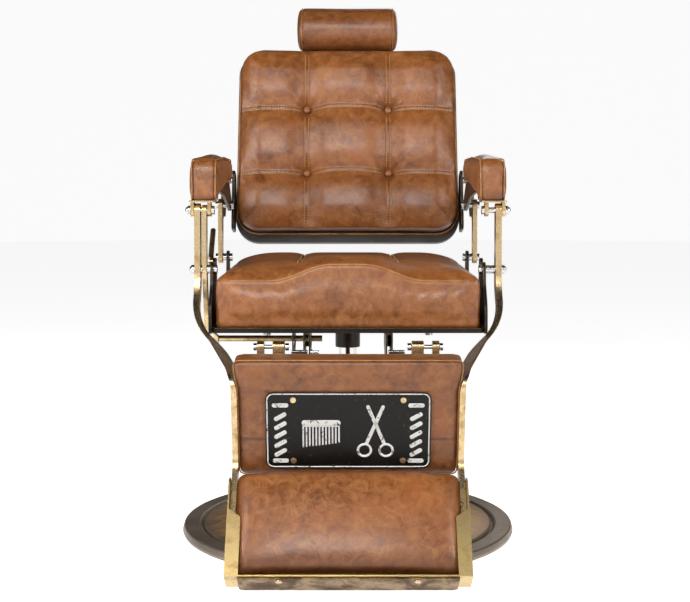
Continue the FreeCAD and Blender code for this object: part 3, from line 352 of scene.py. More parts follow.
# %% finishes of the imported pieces
FINISHES = {
    "base_metal": (base_metal, ["base_plate", "base_dome"]),
    "black": (black_steel, [
        "pump_flange", "pump_housing", "pedal_bracket", "pedal_arm", "swivel_cap", "seat_plate",
        "seat_pan", "side_plate_left", "side_plate_right", "guide_plate", "guide_post_left",
        "guide_post_right", "armrest_rail_left", "armrest_rail_right", "side_bracket_left",
        "side_bracket_right", "headrest_sleeve",
    ]),
    "brass": (brass, [
        "lever_left", "lever_right", "drive_bar", "rear_arm_left", "rear_arm_right",
        "armrest_fork_left", "armrest_fork_right", "legrest_lugs",
        "recline_handle", "cross_shaft", "trim_screws",
    ]),
    "tray_brass": (tray_brass, ["footrest_tray"]),
    "darker_brass": (darker_brass, ["footrest_apron"]),
    "steel": (bright_steel, [
        "flange_bolts", "pedal_pin", "piston_head", "seat_bolts", "buffer_blocks", "lock_bolt",
        "pivot_bolts", "pivot_spacers", "handle_pin", "back_bolts", "front_arm_bolts", "lug_bolts",
    ]),
    "chrome": (chrome, ["piston_rod", "headrest_post"]),
    "shell": (shell_finish, ["back_shell", "back_board"]),
    "wood": (plywood, ["legrest_board"]),
}
for finish, names in FINISHES.values():
    for name in names:
        for slot in frame["nodes"][name].material_slots:
            slot.material = finish
print("finished:", sum(len(names) for _, names in FINISHES.values()), "packed pieces")

# %% [markdown]
# Each cushion is drawn flat in its own directions, u across, v along and w out of its face, and then
# set in place. The seat lies level, the back leans with its shell, and the leg panel and footrest
# follow the levers. Their places are counted from the pivots, as the frame itself is.


# %% where the cushions lie
def pivot(name):
    place = next(joint for joint in frame["joints"] if joint["name"] == name)
    return Vector(place["pos_m"])


def leaning(origin, up, out):
    """A frame whose v axis runs along up and whose w axis runs along out."""
    turned = Matrix((up.cross(out), up, out)).transposed().to_4x4()
    return Matrix.Translation(origin) @ turned


BACK_TILT = radians(12.7)
PANEL_LEAN = radians(14)
TRAY_SLOPE = radians(53.25)
back_foot = pivot("back_recline") + Vector((0, 40, 52)) * MM
panel_foot = pivot("leg_lever") + Vector((0, -233, -354)) * MM
tray_foot = pivot("leg_lever") + Vector((0, -348.3, -537.1)) * MM
back_up = Vector((0, sin(BACK_TILT), cos(BACK_TILT)))
back_out = Vector((0, -cos(BACK_TILT), sin(BACK_TILT)))
panel_up = Vector((0, -sin(PANEL_LEAN), cos(PANEL_LEAN)))
panel_out = Vector((0, -cos(PANEL_LEAN), -sin(PANEL_LEAN)))
tray_up = Vector((0, cos(TRAY_SLOPE), sin(TRAY_SLOPE)))
tray_out = Vector((0, -sin(TRAY_SLOPE), cos(TRAY_SLOPE)))
BACK = leaning(back_foot - back_out * 60 * MM, back_up, back_out)
PANEL = leaning(panel_foot - panel_out * 34 * MM, panel_up, panel_out)
TRAY = leaning(tray_foot, tray_up, tray_out)
STILL = Matrix.Identity(4)
SEAT = STILL
print("back stands at", [round(v, 3) for v in BACK.translation])

# %% [markdown]
# The stuffing. A cushion starts as a slab with a rounded outline and rounded edges, a little smaller
# than it ends. A voxel remesh gives it even points, a short cloth run with air pressure inside swells
# it so that the sides pull in between the corners, and a cap keeps any point from going too far.
# Then its own crown, seams and channels are pressed in by moving points, because the remesh would
# have erased them.


# %% outlines and slabs
def as_object(name, mesh):
    """Turn a finished bmesh into an object in the scene."""
    data = bpy.data.meshes.new(name)
    mesh.to_mesh(data)
    mesh.free()
    made = bpy.data.objects.new(name, data)
    scene.collection.objects.link(made)
    return made


def rounded(corners, step=0.006):
    """A closed outline from corners (u, v, radius), with its arcs walked in small steps."""
    points = []
    count = len(corners)
    for i, (u, v, radius) in enumerate(corners):
        here = Vector((u, v))
        back = (Vector(corners[i - 1][:2]) - here).normalized()
        ahead = (Vector(corners[(i + 1) % count][:2]) - here).normalized()
        if not radius:
            points.append(here)
            continue
        half = back.angle(ahead) / 2
        centre = here + (back + ahead).normalized() * (radius / sin(half))
        start = here + back * (radius / math.tan(half)) - centre
        end = here + ahead * (radius / math.tan(half)) - centre
        turn = math.atan2(start.x * end.y - start.y * end.x, start.dot(end))
        steps = max(3, int(abs(turn) * radius / step))
        for k in range(steps + 1):
            angle = turn * k / steps
            points.append(centre + Vector((start.x * cos(angle) - start.y * sin(angle),
                                           start.x * sin(angle) + start.y * cos(angle))))
    return points


def box_outline(half, low, high, radius):
    return rounded([(-half, low, radius), (half, low, radius), (half, high, radius), (-half, high, radius)])


def inset(points, amount):
    """The outline moved inwards, point by point, along its own normals."""
    moved = []
    count = len(points)
    for i, here in enumerate(points):
        along = (points[(i + 1) % count] - points[i - 1]).normalized()
        moved.append(here + Vector((-along.y, along.x)) * amount)
    return moved


def slab(name, points, low, high, edge):
    """A closed slab between two heights, with its edges rounded over."""
    mesh = bmesh.new()
    levels = []
    for k in range(5):
        angle = pi / 2 * k / 4
        levels.append((low + edge * (1 - sin(angle)), edge * (1 - cos(angle))))
    levels = levels[::-1] + [(high - (level - low), inward) for level, inward in levels]
    levels.sort(key=lambda pair: pair[0])
    rings = [[mesh.verts.new((p.x, p.y, level)) for p in inset(points, inward)] for level, inward in levels]
    for lower, upper in zip(rings, rings[1:]):
        for i in range(len(lower)):
            j = (i + 1) % len(lower)
            mesh.faces.new((lower[i], lower[j], upper[j], upper[i]))
    mesh.faces.new(rings[0][::-1])
    mesh.faces.new(rings[-1])
    bmesh.ops.remove_doubles(mesh, verts=mesh.verts, dist=1e-6)
    bmesh.ops.recalc_face_normals(mesh, faces=mesh.faces)
    return as_object(name, mesh)


# %% stuffing and shaping
def settled(piece):
    """Apply whatever modifiers a piece has, and leave plain mesh."""
    view = bpy.context.evaluated_depsgraph_get()
    data = bpy.data.meshes.new_from_object(piece.evaluated_get(view))
    piece.modifiers.clear()
    piece.data = data
    return piece


def points_of(piece):
    flat = np.empty(len(piece.data.vertices) * 3, dtype=np.float32)
    piece.data.vertices.foreach_get("co", flat)
    return flat.reshape(-1, 3).astype(float)


def set_points(piece, places):
    piece.data.vertices.foreach_set("co", places.astype(np.float32).ravel())
    piece.data.update()


def stuffed(piece, voxel, cap, pressure=4.0, frames=20):
    """Remesh, swell with air in a short cloth run, and hold every point within the cap."""
    remesh = piece.modifiers.new("remesh", "REMESH")
    remesh.mode = "VOXEL"
    remesh.voxel_size = voxel
    settled(piece)
    smooth = piece.modifiers.new("smooth", "SMOOTH")
    smooth.iterations = 4
    smooth.factor = 0.5
    settled(piece)
    before = points_of(piece)
    cloth = piece.modifiers.new("cloth", "CLOTH")
    cloth.settings.use_pressure = True
    cloth.settings.uniform_pressure_force = pressure
    cloth.settings.quality = 4
    cloth.settings.effector_weights.gravity = 0
    cloth.settings.tension_stiffness = 40
    cloth.settings.compression_stiffness = 40
    cloth.point_cache.frame_start = 1
    cloth.point_cache.frame_end = frames
    for number in range(1, frames + 1):
        scene.frame_set(number)
        bpy.context.view_layer.update()
    settled(piece)
    after = points_of(piece)
    moves = after - before
    lengths = np.linalg.norm(moves, axis=1, keepdims=True)
    held = cap * np.tanh(lengths / cap) / np.maximum(lengths, 1e-9)
    set_points(piece, before + moves * held)
    print(piece.name, "swelled by up to", round(float((lengths * held).max() * 1000), 1), "mm")
    scene.frame_set(1)
    return piece


def refined(piece):
    divide = piece.modifiers.new("divide", "SUBSURF")
    divide.levels = divide.render_levels = 1
    return settled(piece)


def store_darker_tone_and_shade(piece, values):
    """Store how much darker each point is: the seams' and rims' own tone, and painted shade in hollows and
    underneath.
    """
    stored = piece.data.attributes.new("darker_tone_and_shade", "FLOAT", "POINT")
    stored.data.foreach_set("value", np.clip(values, 0, 1).astype(np.float32))


def finished(piece, frame_matrix, material, body, slot, *replaced, fill=None):
    """Set a piece in place and say what it rides on, what it stands for and what it is made of."""
    piece.data.transform(frame_matrix)
    if frame_matrix.determinant() < 0:
        piece.data.flip_normals()
    piece.data.materials.clear()
    piece.data.materials.append(material)
    piece.data.shade_smooth()
    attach(piece, body)
    if replaced:
        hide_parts(*replaced)
    return piece


def near(distance, width):
    """1 on a line and falling away from it like a bell."""
    return np.exp(-(distance / width) ** 2)


def ramp(value, low, high):
    """0 below low, 1 above high, and smooth between."""
    share = np.clip((value - low) / (high - low), 0, 1)
    return share * share * (3 - 2 * share)


# %% [markdown]
# Trim that follows a cushion: piping is a cord covered in leather, swept along a seam, and stitches
# are short beads of thread. The stitches and the seat's welt are laid on the finished surface by
# dropping rays on it, so they touch it wherever it has swelled to.


# %% piping and stitches
def skin_of(piece):
    """A search tree of a cushion's faces, in the cushion's own place."""
    tree = bmesh.new()
    tree.from_mesh(piece.data)
    made = BVHTree.FromBMesh(tree)
    tree.free()
    return made


def dropped(skin, starts, direction):
    """Where rays from the start points meet the surface, with the surface's direction there."""
    hits = []
    for start in starts:
        place, normal, _, _ = skin.ray_cast(Vector(start), Vector(direction))
        if place is not None:
            hits.append((place, normal))
    return hits


def swept(name, path, radius, closed=True, sides=10):
    """A round cord along a path."""
    mesh = bmesh.new()
    rings = []
    count = len(path)
    for i, here in enumerate(path):
        ahead = path[(i + 1) % count] if closed or i + 1 < count else here
        behind = path[i - 1] if closed or i else here
        along = (ahead - behind).normalized()
        across = along.cross(Vector((0.13, 0.21, 0.97))).normalized()
        other = along.cross(across)
        rings.append([
            mesh.verts.new(here + (across * cos(a) + other * sin(a)) * radius)
            for a in (2 * pi * k / sides for k in range(sides))
        ])
    pairs = list(zip(rings, rings[1:])) + ([(rings[-1], rings[0])] if closed else [])
    for first, second in pairs:
        shift = min(range(sides), key=lambda s: (first[0].co - second[s].co).length)
        for k in range(sides):
            j = (k + 1) % sides
            mesh.faces.new((first[k], first[j], second[(j + shift) % sides], second[(k + shift) % sides]))
    if not closed:
        mesh.faces.new(rings[0][::-1])
        mesh.faces.new(rings[-1])
    bmesh.ops.recalc_face_normals(mesh, faces=mesh.faces)
    return as_object(name, mesh)


def evened(path, step, closed=False):
    """The same path with points an even step apart."""
    corners = path + [path[0]] if closed else path
    lengths = [0.0]
    for first, second in zip(corners, corners[1:]):
        lengths.append(lengths[-1] + (second - first).length)
    count = max(2, round(lengths[-1] / step))
    wanted = [lengths[-1] * k / count for k in range(count if closed else count + 1)]
    table = np.array([tuple(p) for p in corners])
    columns = [np.interp(wanted, lengths, table[:, axis]) for axis in range(3)]
    return [Vector(p) for p in zip(*columns)]


def softened(path, rounds, closed=False):
    """The path with its small steps smoothed away."""
    for _ in range(rounds):
        count = len(path)
        path = [
            p if not closed and i in (0, count - 1)
            else p * 0.5 + (path[i - 1] + path[(i + 1) % count]) * 0.25
            for i, p in enumerate(path)
        ]
    return path


def stitch_row(mesh, hits, pitch, length, radius):
    """Beads of thread along a row of surface hits."""
    path = evened([place + normal * radius * 0.4 for place, normal in hits], pitch)
    for first, second in zip(path, path[1:]):
        along = (second - first).normalized()
        turn = along.to_track_quat("Z", "Y").to_matrix().to_4x4()
        middle = Matrix.Translation((first + second) / 2)
        size = Matrix.Diagonal((radius, radius, length / 2, 1))
        bmesh.ops.create_icosphere(mesh, subdivisions=1, radius=1.0, matrix=middle @ turn @ size)


def sewn(name, rows, pitch=0.0064, length=0.0048, radius=0.0014):
    """One piece that holds every stitch of a cushion."""
    mesh = bmesh.new()
    for hits in rows:
        if len(hits) > 1:
            stitch_row(mesh, hits, pitch, length, radius)
    return as_object(name, mesh)


# %% [markdown]
# The seat. It is a boxed cushion with a raised front middle that swings down to both sides, and its
# top is three lobes between two seams that run from front to back. A welt follows the edge between
# the top and the boxing. The slab is swelled first, then the front rise and the lobes are shaped.

# %% seat cushion
SEAT_HALF = 266 * MM
SEAT_FRONT = -252 * MM
SEAT_REAR = 238 * MM
SEAT_LOW = 463.5 * MM
SEAT_EDGE = 566 * MM
SEAT_SEAM = 98 * MM
SEAT_RISE = 33 * MM


def seat_ridge(across, along):
    """0 at the sides and the rear, and 1 on the raised middle of the front."""
    return ramp(-abs(across), -152 * MM, -36 * MM) * ramp(-along, 20 * MM, 235 * MM)


seat = slab("seat_cushion_leather", box_outline(SEAT_HALF, SEAT_FRONT, SEAT_REAR, 12 * MM), SEAT_LOW,
            SEAT_EDGE - 1 * MM, 7 * MM)
stuffed(seat, 0.006, 2.5 * MM, 3.0)
places = points_of(seat)
x, y, z = places.T
top_share = ramp(z, SEAT_LOW + 30 * MM, SEAT_EDGE - 8 * MM)
ridge = seat_ridge(x, y)
rise = SEAT_RISE * ridge
inward = np.minimum(np.minimum(SEAT_HALF - abs(x), y - SEAT_FRONT), SEAT_REAR - y)
crown = 30 * MM * (1 - (1 - np.clip(inward / (130 * MM), 0, 1)) ** 2.3) * (1 - 0.5 * ridge)
places[:, 2] += top_share * (rise + crown)
set_points(seat, places)
refined(seat)
places = points_of(seat)
x, y, z = places.T
upper = ramp(z, SEAT_EDGE - 6 * MM, SEAT_EDGE + 3 * MM)
reach = ramp(y, SEAT_FRONT + 34 * MM, SEAT_FRONT + 90 * MM) * ramp(-y, -SEAT_REAR, -SEAT_REAR + 26 * MM)
gap = abs(x) - SEAT_SEAM
valley = near(gap, 16 * MM) * 4 * MM + near(gap, 5 * MM) * 3 * MM
places[:, 2] -= upper * reach * valley
set_points(seat, places)
# Darker along the top's seams, and painted shade along the cushion's bottom edge.
low_edge = near(z - SEAT_LOW, 12 * MM)
store_darker_tone_and_shade(seat, upper * reach * near(gap, 7 * MM) + 0.6 * low_edge)
finished(seat, SEAT, leather, "seat", "leather", "seat_cushion", fill=0.8)
print("seat:", len(seat.data.vertices), "points")

# %% seat welt and stitches
seat_skin = skin_of(seat)
WELT_HALF = 240 * MM
WELT_FRONT = -227 * MM
WELT_REAR = 213 * MM
TOUCH = 0.1 * MM
welt_start = box_outline(WELT_HALF, WELT_FRONT, WELT_REAR, 12 * MM)
welt_line = []
for corner in evened([Vector((p.x, p.y, 0)) for p in welt_start], 7 * MM, closed=True):
    level = SEAT_EDGE - 4 * MM + SEAT_RISE * float(seat_ridge(corner.x, corner.y))
    way = Vector((corner.x * 0.25, corner.y * 0.25, 0))
    if abs(corner.y - WELT_FRONT) < TOUCH:
        way = Vector((0, -1, 0))
    elif abs(abs(corner.x) - WELT_HALF) < TOUCH:
        way = Vector((math.copysign(1, corner.x), 0, 0))
    elif abs(corner.y - WELT_REAR) < TOUCH:
        way = Vector((0, 1, 0))
    hit = seat_skin.ray_cast(Vector((corner.x, corner.y, level)), way.normalized())[0]
    if hit is not None:
        welt_line.append(hit)
welt_line = softened(welt_line, 3, closed=True)
seat_welt = swept("seat_welt", evened(welt_line, 6 * MM, closed=True), 2.2 * MM)
finished(seat_welt, SEAT, piping_leather, "seat", "leather")
rows = []
for side in (-1, 1):
    for offset in (-4 * MM, 4 * MM):
        starts = [(side * SEAT_SEAM + offset, y0, 0.7) for y0 in np.arange(-0.2, 0.214, 0.006)]
        rows.append(dropped(seat_skin, starts, (0, 0, -1)))
rows.append([(p + Vector((0, 0, -5 * MM)), Vector((0, -1, 0))) for p in welt_line if p.y < -0.235])
rows[-1].sort(key=lambda hit: hit[0].x)
seat_stitches = sewn("seat_stitches", rows)
finished(seat_stitches, SEAT, thread, "seat", "leather")

# %% [markdown]
# The back. It is nine puffs between two seams each way, with a leather button drawn in at each
# crossing. The seams across the middle arch up a little, as they do when the stuffing pushes them.
# The puffs are one height function: high in the middle of each square, low along the seams, lowest
# at the buttons, with small pleats that run out from every button.

# %% back cushion
BACK_SEAM_U = 96.5 * MM
BACK_SEAMS_V = (149 * MM, 304 * MM)
BACK_LOW = 12 * MM
BACK_HIGH = 454 * MM
back_corners = [(-261, 12, 50), (261, 12, 50), (256, 454, 55), (-256, 454, 55)]
back_outline = rounded([(u * MM, v * MM, r * MM) for u, v, r in back_corners])
back = slab("back_cushion_leather", inset(back_outline, -3 * MM), 1 * MM, 52 * MM, 12 * MM)
stuffed(back, 0.006, 5 * MM, 3.0)
refined(back)
places = points_of(back)
u, v, w = places.T


def seam_level(across, level):
    """Where a seam that crosses the back runs, arched in its middle panel."""
    return level + 7 * MM * np.clip(1 - (across / BACK_SEAM_U) ** 2, 0, 1)


seam_gap_u = abs(abs(u) - BACK_SEAM_U)
seam_gaps_v = [abs(v - seam_level(u, level)) for level in BACK_SEAMS_V]
seam_gap_v = np.minimum(*seam_gaps_v)
rim = np.minimum(np.minimum(259 * MM - abs(u), v - BACK_LOW), BACK_HIGH - v)
face = ramp(w, 28 * MM, 46 * MM)
inner = ramp(rim, 0 * MM, 60 * MM)
valley = 15 * MM * near(seam_gap_u, 30 * MM) + 13 * MM * near(seam_gap_v, 30 * MM)
valley += 2.5 * MM * near(seam_gap_u, 9 * MM) + 2.5 * MM * near(seam_gap_v, 9 * MM)
valley -= 2.5 * MM * near(seam_gap_u, 3.4 * MM) + 2.5 * MM * near(seam_gap_v, 3.4 * MM)
button_gap = np.full_like(u, 1.0)
pleats = np.zeros_like(u)
for side in (-1, 1):
    for level in BACK_SEAMS_V:
        du = u - side * BACK_SEAM_U
        dv = v - level
        away = np.hypot(du, dv)
        button_gap = np.minimum(button_gap, away)
        turn = np.arctan2(dv, du)
        pleats += np.cos(12 * turn + 2.0 * np.sin(3 * turn)) * near(away - 22 * MM, 17 * MM)
valley += 12 * MM * near(button_gap, 20 * MM)
lift = 19 * MM * inner - valley * ramp(rim, -8 * MM, 28 * MM) + 1.1 * MM * pleats
places[:, 2] += face * lift
set_points(back, places)
# Darker along the seams and the rim, with painted shade in the hollows round the buttons.
seam_dark = np.maximum(near(seam_gap_u, 6 * MM), near(seam_gap_v, 6 * MM)) * 0.4
rim_dark = near(rim, 9 * MM) * 0.4
store_darker_tone_and_shade(back, face * np.maximum(seam_dark, 0.8 * near(button_gap, 14 * MM)) + rim_dark)
finished(back, BACK, leather, "back", "leather", "back_cushion", fill=0.75)
print("back:", len(back.data.vertices), "points")

# %% back seams, buttons and piping
back_skin = skin_of(back)


def back_hits(line):
    """The surface under a line of (u, v) places on the back."""
    starts = [BACK @ Vector((float(a), float(b), 0.2)) for a, b in line]
    return dropped(back_skin, starts, -back_out)


rows = []
for side in (-1, 1):
    for offset in (-4.2 * MM, 4.2 * MM):
        for low, high in ((24, 134), (164, 289), (319, 442)):
            line = [(side * BACK_SEAM_U + offset, level * MM) for level in range(low, high, 5)]
            rows.append(back_hits(line))
for level in BACK_SEAMS_V:
    for offset in (-4.2 * MM, 4.2 * MM):
        for low, high in ((-248, -112), (-82, 82), (112, 248)):
            line = [(a * MM, float(seam_level(a * MM, level)) + offset) for a in range(low, high, 5)]
            rows.append(back_hits(line))
back_stitches = sewn("back_stitches", rows)
finished(back_stitches, STILL, thread, "back", "leather")


def lathe(name, profile, turns=32):
    """A shape turned about Z from (radius, height) points; a radius of 0 closes an end."""
    mesh = bmesh.new()
    rings = []
    for radius, height in profile:
        if radius <= 0:
            rings.append([mesh.verts.new((0, 0, height))] * turns)
            continue
        rings.append([mesh.verts.new((radius * cos(2 * pi * k / turns), radius * sin(2 * pi * k / turns),
                                      height)) for k in range(turns)])
    for lower, upper in zip(rings, rings[1:]):
        for k in range(turns):
            j = (k + 1) % turns
            corners = list(dict.fromkeys((lower[k], lower[j], upper[j], upper[k])))
            if len(corners) > 2:
                mesh.faces.new(corners)
    bmesh.ops.recalc_face_normals(mesh, faces=mesh.faces)
    return as_object(name, mesh)


def together(name, parts):
    """Several meshes, each with its own placing matrix, as one piece."""
    mesh = bmesh.new()
    for data, place in parts:
        copy = data.copy()
        copy.transform(place)
        mesh.from_mesh(copy)
        bpy.data.meshes.remove(copy)
    return as_object(name, mesh)


def joined(name, made):
    """Several pieces as one, with the separate ones taken away."""
    whole = together(name, [(piece.data, STILL) for piece in made])
    for piece in made:
        bpy.data.objects.remove(piece)
    return whole


def pattern_mesh(profile, turns=32):
    """A turned shape kept only as mesh data, to be copied about."""
    made = lathe("pattern", profile, turns)
    data = made.data
    bpy.data.objects.remove(made)
    return data


BUTTON = [(0, -5), (6.2, -5), (8.2, -2), (8.8, 0.4), (8.2, 2.4), (6.4, 4.2), (3.6, 5.2), (0, 5.6)]
button_shape = pattern_mesh([(r * MM, h * MM) for r, h in BUTTON], 24)
parts = []
for side in (-1, 1):
    for level in BACK_SEAMS_V:
        place, normal = back_hits([(side * BACK_SEAM_U, level)])[0]
        spot = BACK.inverted() @ place
        parts.append((button_shape, BACK @ Matrix.Translation(spot + Vector((0, 0, 3.2 * MM)))))
back_buttons = together("back_button_covers", parts)
store_darker_tone_and_shade(back_buttons, np.zeros(len(back_buttons.data.vertices)))
finished(back_buttons, STILL, leather, "back", "leather", "back_buttons")

piping_line = [Vector((p.x, p.y, 0)) for p in inset(back_outline, -1.8 * MM)]
piping_path = [BACK @ Vector((p.x, p.y, 1.5 * MM)) for p in evened(piping_line, 6 * MM, closed=True)]
back_piping = swept("back_piping", piping_path, 2.6 * MM)
finished(back_piping, STILL, piping_leather, "back", "leather")
piping_long = sum((a - b).length for a, b in zip(piping_path, piping_path[1:]))
print("back: four buttons, piping of", round(piping_long, 2), "m")

# %% [markdown]
# The headrest is a bolster: a round body with a puffed cap sewn on each end. It is turned like a
# piece on a lathe, swelled a little, and then drawn in along the two seams where the caps are sewn on.

# %% headrest
roll_low, roll_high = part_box("headrest_cushion")
roll_centre = (roll_low + roll_high) / 2
ROLL_RADIUS = 52.5 * MM
ROLL_HALF = 122 * MM
ROLL_EDGE = 13 * MM  # the radius over which the caps turn into the round body
profile = [(0, -ROLL_HALF), (30 * MM, -ROLL_HALF + 1.5 * MM)]
for k in range(1, 7):
    angle = pi / 2 * k / 6
    out = ROLL_RADIUS - ROLL_EDGE * (1 - sin(angle))
    profile.append((out, -ROLL_HALF + 4 * MM + ROLL_EDGE * (1 - cos(angle))))
for k in range(-5, 6):
    profile.append((ROLL_RADIUS - 0.8 * MM * near(k, 2.5), ROLL_HALF * 0.16 * k))
profile += [(r, -h) for r, h in profile[7::-1]]
headrest = lathe("headrest_leather", profile, 48)
stuffed(headrest, 0.0045, 2 * MM, 3.0)
refined(headrest)
places = points_of(headrest)
ends = near(abs(places[:, 2]) - (ROLL_HALF - ROLL_EDGE), 2.6 * MM)
radius = np.hypot(places[:, 0], places[:, 1])
shrink = 1 - ends * 1.6 * MM / np.maximum(radius, 10 * MM)
places[:, :2] *= shrink[:, None]
set_points(headrest, places)
# Painted shade darkens the whole roll a little; the ends are darker still along the cap seams.
store_darker_tone_and_shade(headrest, 0.28 + 0.5 * ends)
ROLL = Matrix.Translation(roll_centre) @ Matrix.Rotation(pi / 2, 4, "Y")
finished(headrest, ROLL, leather, "headrest", "leather", "headrest_cushion", fill=0.8)
welts = []
welt_reach = ROLL_RADIUS - 1.1 * MM
for side in (-1, 1):
    along = side * (ROLL_HALF - ROLL_EDGE)
    ring = [
        roll_centre + Vector((along, welt_reach * cos(a), welt_reach * sin(a)))
        for a in (2 * pi * k / 56 for k in range(56))
    ]
    welts.append(swept("roll_welt", ring, 1.4 * MM))
roll_welts = joined("headrest_welts", welts)
finished(roll_welts, STILL, piping_leather, "headrest", "leather")
print("headrest:", len(headrest.data.vertices), "points")

# %% [markdown]
# The armrests. Seen from the side each is a long pad whose nose drops down over the brass fork. The
# slab's outline is that side view, and its thickness is the pad's width. A welt goes round both
# sides, where the top strip meets the side panels.

# %% armrests
ARM_SIDE = [(-244, 722, 10), (-195, 722, 8), (-181, 759, 10), (120, 759, 9), (120, 809, 18),
            (-60, 813, 300), (-241, 806, 26)]
armrest_points = []


def arched(up, across, half):
    """How far the top is raised in its middle and lowered at its two edges."""
    return 4 * MM * ramp(up, 780 * MM, 800 * MM) * (0.55 - (across / half) ** 2)


for name, side in (("left", 1), ("right", -1)):
    low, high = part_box(f"armrest_pad_{name}")
    middle = (low.x + high.x) / 2
    half = (high.x - low.x) / 2 - 2.5 * MM
    outline_points = rounded([(a * MM, b * MM, r * MM) for a, b, r in ARM_SIDE])
    pad = slab(f"armrest_leather_{name}", outline_points, -half, half, 11 * MM)
    stuffed(pad, 0.0045, 5 * MM, 4.0)
    refined(pad)
    places = points_of(pad)
    places[:, 1] += arched(places[:, 1], places[:, 2], half)
    set_points(pad, places)
    # Darker along the side welts, and painted shade along the underside of the nose.
    edge = near(abs(places[:, 2]) - (half - 5 * MM), 4 * MM)
    store_darker_tone_and_shade(pad, 0.35 * edge + 0.5 * near(places[:, 1] - 726 * MM, 7 * MM))
    place = Matrix(((0, 0, 1, middle), (1, 0, 0, 0), (0, 1, 0, 0), (0, 0, 0, 1)))
    finished(pad, place, leather, f"armrest_{name}", "leather", f"armrest_pad_{name}", fill=0.8)
    loops = []
    for face_side in (-1, 1):
        loop = evened([Vector((p.x, p.y, face_side * (half - 3.4 * MM)))
                       for p in inset(outline_points, 1.6 * MM)], 5 * MM, closed=True)
        for point in loop:
            point.y += float(arched(point.y, point.z, half))
        loops.append(swept("arm_welt", [place @ p for p in softened(loop, 2, closed=True)], 1.5 * MM))
    welt = joined(f"armrest_welt_{name}", loops)
    finished(welt, STILL, piping_leather, f"armrest_{name}", "leather")
    armrest_points.append(len(pad.data.vertices))
print("armrests:", armrest_points, "points")

# %% [markdown]
# The leg panel is a thin pad over a board, with a seam across its foot where the hide is joined, the
# leather darker below it, and a welt along its front edge.

# %% leg panel
PANEL_HALF = 203.6 * MM
PANEL_LOW = -16 * MM
PANEL_HIGH = 212.5 * MM
PANEL_JOIN = 58 * MM


def flared(up):
    """The panel widens where its top wraps over the bars."""
    return 1 + 0.035 * ramp(up, 140 * MM, 205 * MM)


panel = slab("legrest_leather", box_outline(PANEL_HALF, PANEL_LOW, PANEL_HIGH, 9 * MM), -15 * MM, 31.5 * MM,
             7 * MM)
stuffed(panel, 0.005, 1.2 * MM, 3.0)
refined(panel)
places = points_of(panel)
u, v, w = places.T
rim = np.minimum(np.minimum(PANEL_HALF - abs(u), v - PANEL_LOW), PANEL_HIGH - v)
behind_sign = ramp(156 * MM - v, -4 * MM, 10 * MM) * ramp(158 * MM - abs(u), -4 * MM, 10 * MM)
join = near(v - PANEL_JOIN, 2.5 * MM)
face = ramp(w, 18 * MM, 28 * MM)
places[:, 2] += face * (2.5 * MM * ramp(rim, 0, 30 * MM) * (1 - behind_sign) - 1.2 * MM * join)
over = (face > 0.5) & (behind_sign > 0.5)
places[over, 2] = np.minimum(places[over, 2], 33.2 * MM)
places[:, 0] *= flared(v)
set_points(panel, places)
# A little darker all over, darker along the seam and below it, and darker along the rim.
store_darker_tone_and_shade(panel, 0.15 + 0.7 * join * face + 0.25 * (v < PANEL_JOIN) + 0.4 * near(rim, 7 * MM))
finished(panel, PANEL, leather, "legs", "leather", "legrest_cushion", fill=0.7)
panel_edge = box_outline(PANEL_HALF - 0.6 * MM, PANEL_LOW + 0.6 * MM, PANEL_HIGH - 0.6 * MM, 9 * MM)
panel_path = evened([Vector((p.x, p.y, 0)) for p in panel_edge], 6 * MM, closed=True)
panel_welt = swept("legrest_welt", [
    PANEL @ Vector((p.x * float(flared(p.y)), p.y, 26 * MM)) for p in panel_path
], 1.5 * MM)
finished(panel_welt, STILL, piping_leather, "legs", "leather")

# %% [markdown]
# The sign is a pressed tin plate with a rolled white border and a raised pattern. The pattern is a
# plain one made for this model: a comb and open scissors between two striped poles, as barbers' signs
# have had for centuries. Nothing on it is a letter or a mark.

# %% sign plate
SIGN_HALF = 152.5 * MM
SIGN_LOW = 1 * MM
SIGN_HIGH = 153.4 * MM
FACE = 34.3 * MM  # where the plate's back lies, just clear of the leather


def bar_points(first, second, wide, ends=0.5):
    """The outline of a straight bar from one place to another."""
    along = (second - first).normalized()
    across = Vector((-along.y, along.x)) * wide / 2
    corner = wide * ends * 0.9
    corners = [first - across, second - across, second + across, first + across]
    return rounded([(p.x, p.y, corner) for p in corners], 0.002)


sign = slab("sign_tin", box_outline(SIGN_HALF, SIGN_LOW, SIGN_HIGH, 14 * MM), FACE, FACE + 2 * MM, 0.6 * MM)
finished(sign, PANEL, black_enamel, "legs", "sign", "sign_plate")
BORDER_IN = 3.4 * MM
border_line = box_outline(SIGN_HALF - BORDER_IN, SIGN_LOW + BORDER_IN, SIGN_HIGH - BORDER_IN, 11 * MM)
border_even = evened([Vector((p.x, p.y, 0)) for p in border_line], 3 * MM, closed=True)
border_path = [PANEL @ Vector((p.x, p.y, FACE + 1.6 * MM)) for p in border_even]
sign_border = swept("sign_border", border_path, 1.3 * MM)
finished(sign_border, STILL, white_enamel, "legs", "sign")

relief = []
LOW = FACE + 1.2 * MM
HIGH = FACE + 3.4 * MM


def raised(name, first, second, wide):
    """A raised bar on the sign, from one place to another."""
    relief.append(slab(name, bar_points(first, second, wide), LOW, HIGH, 0.5 * MM))


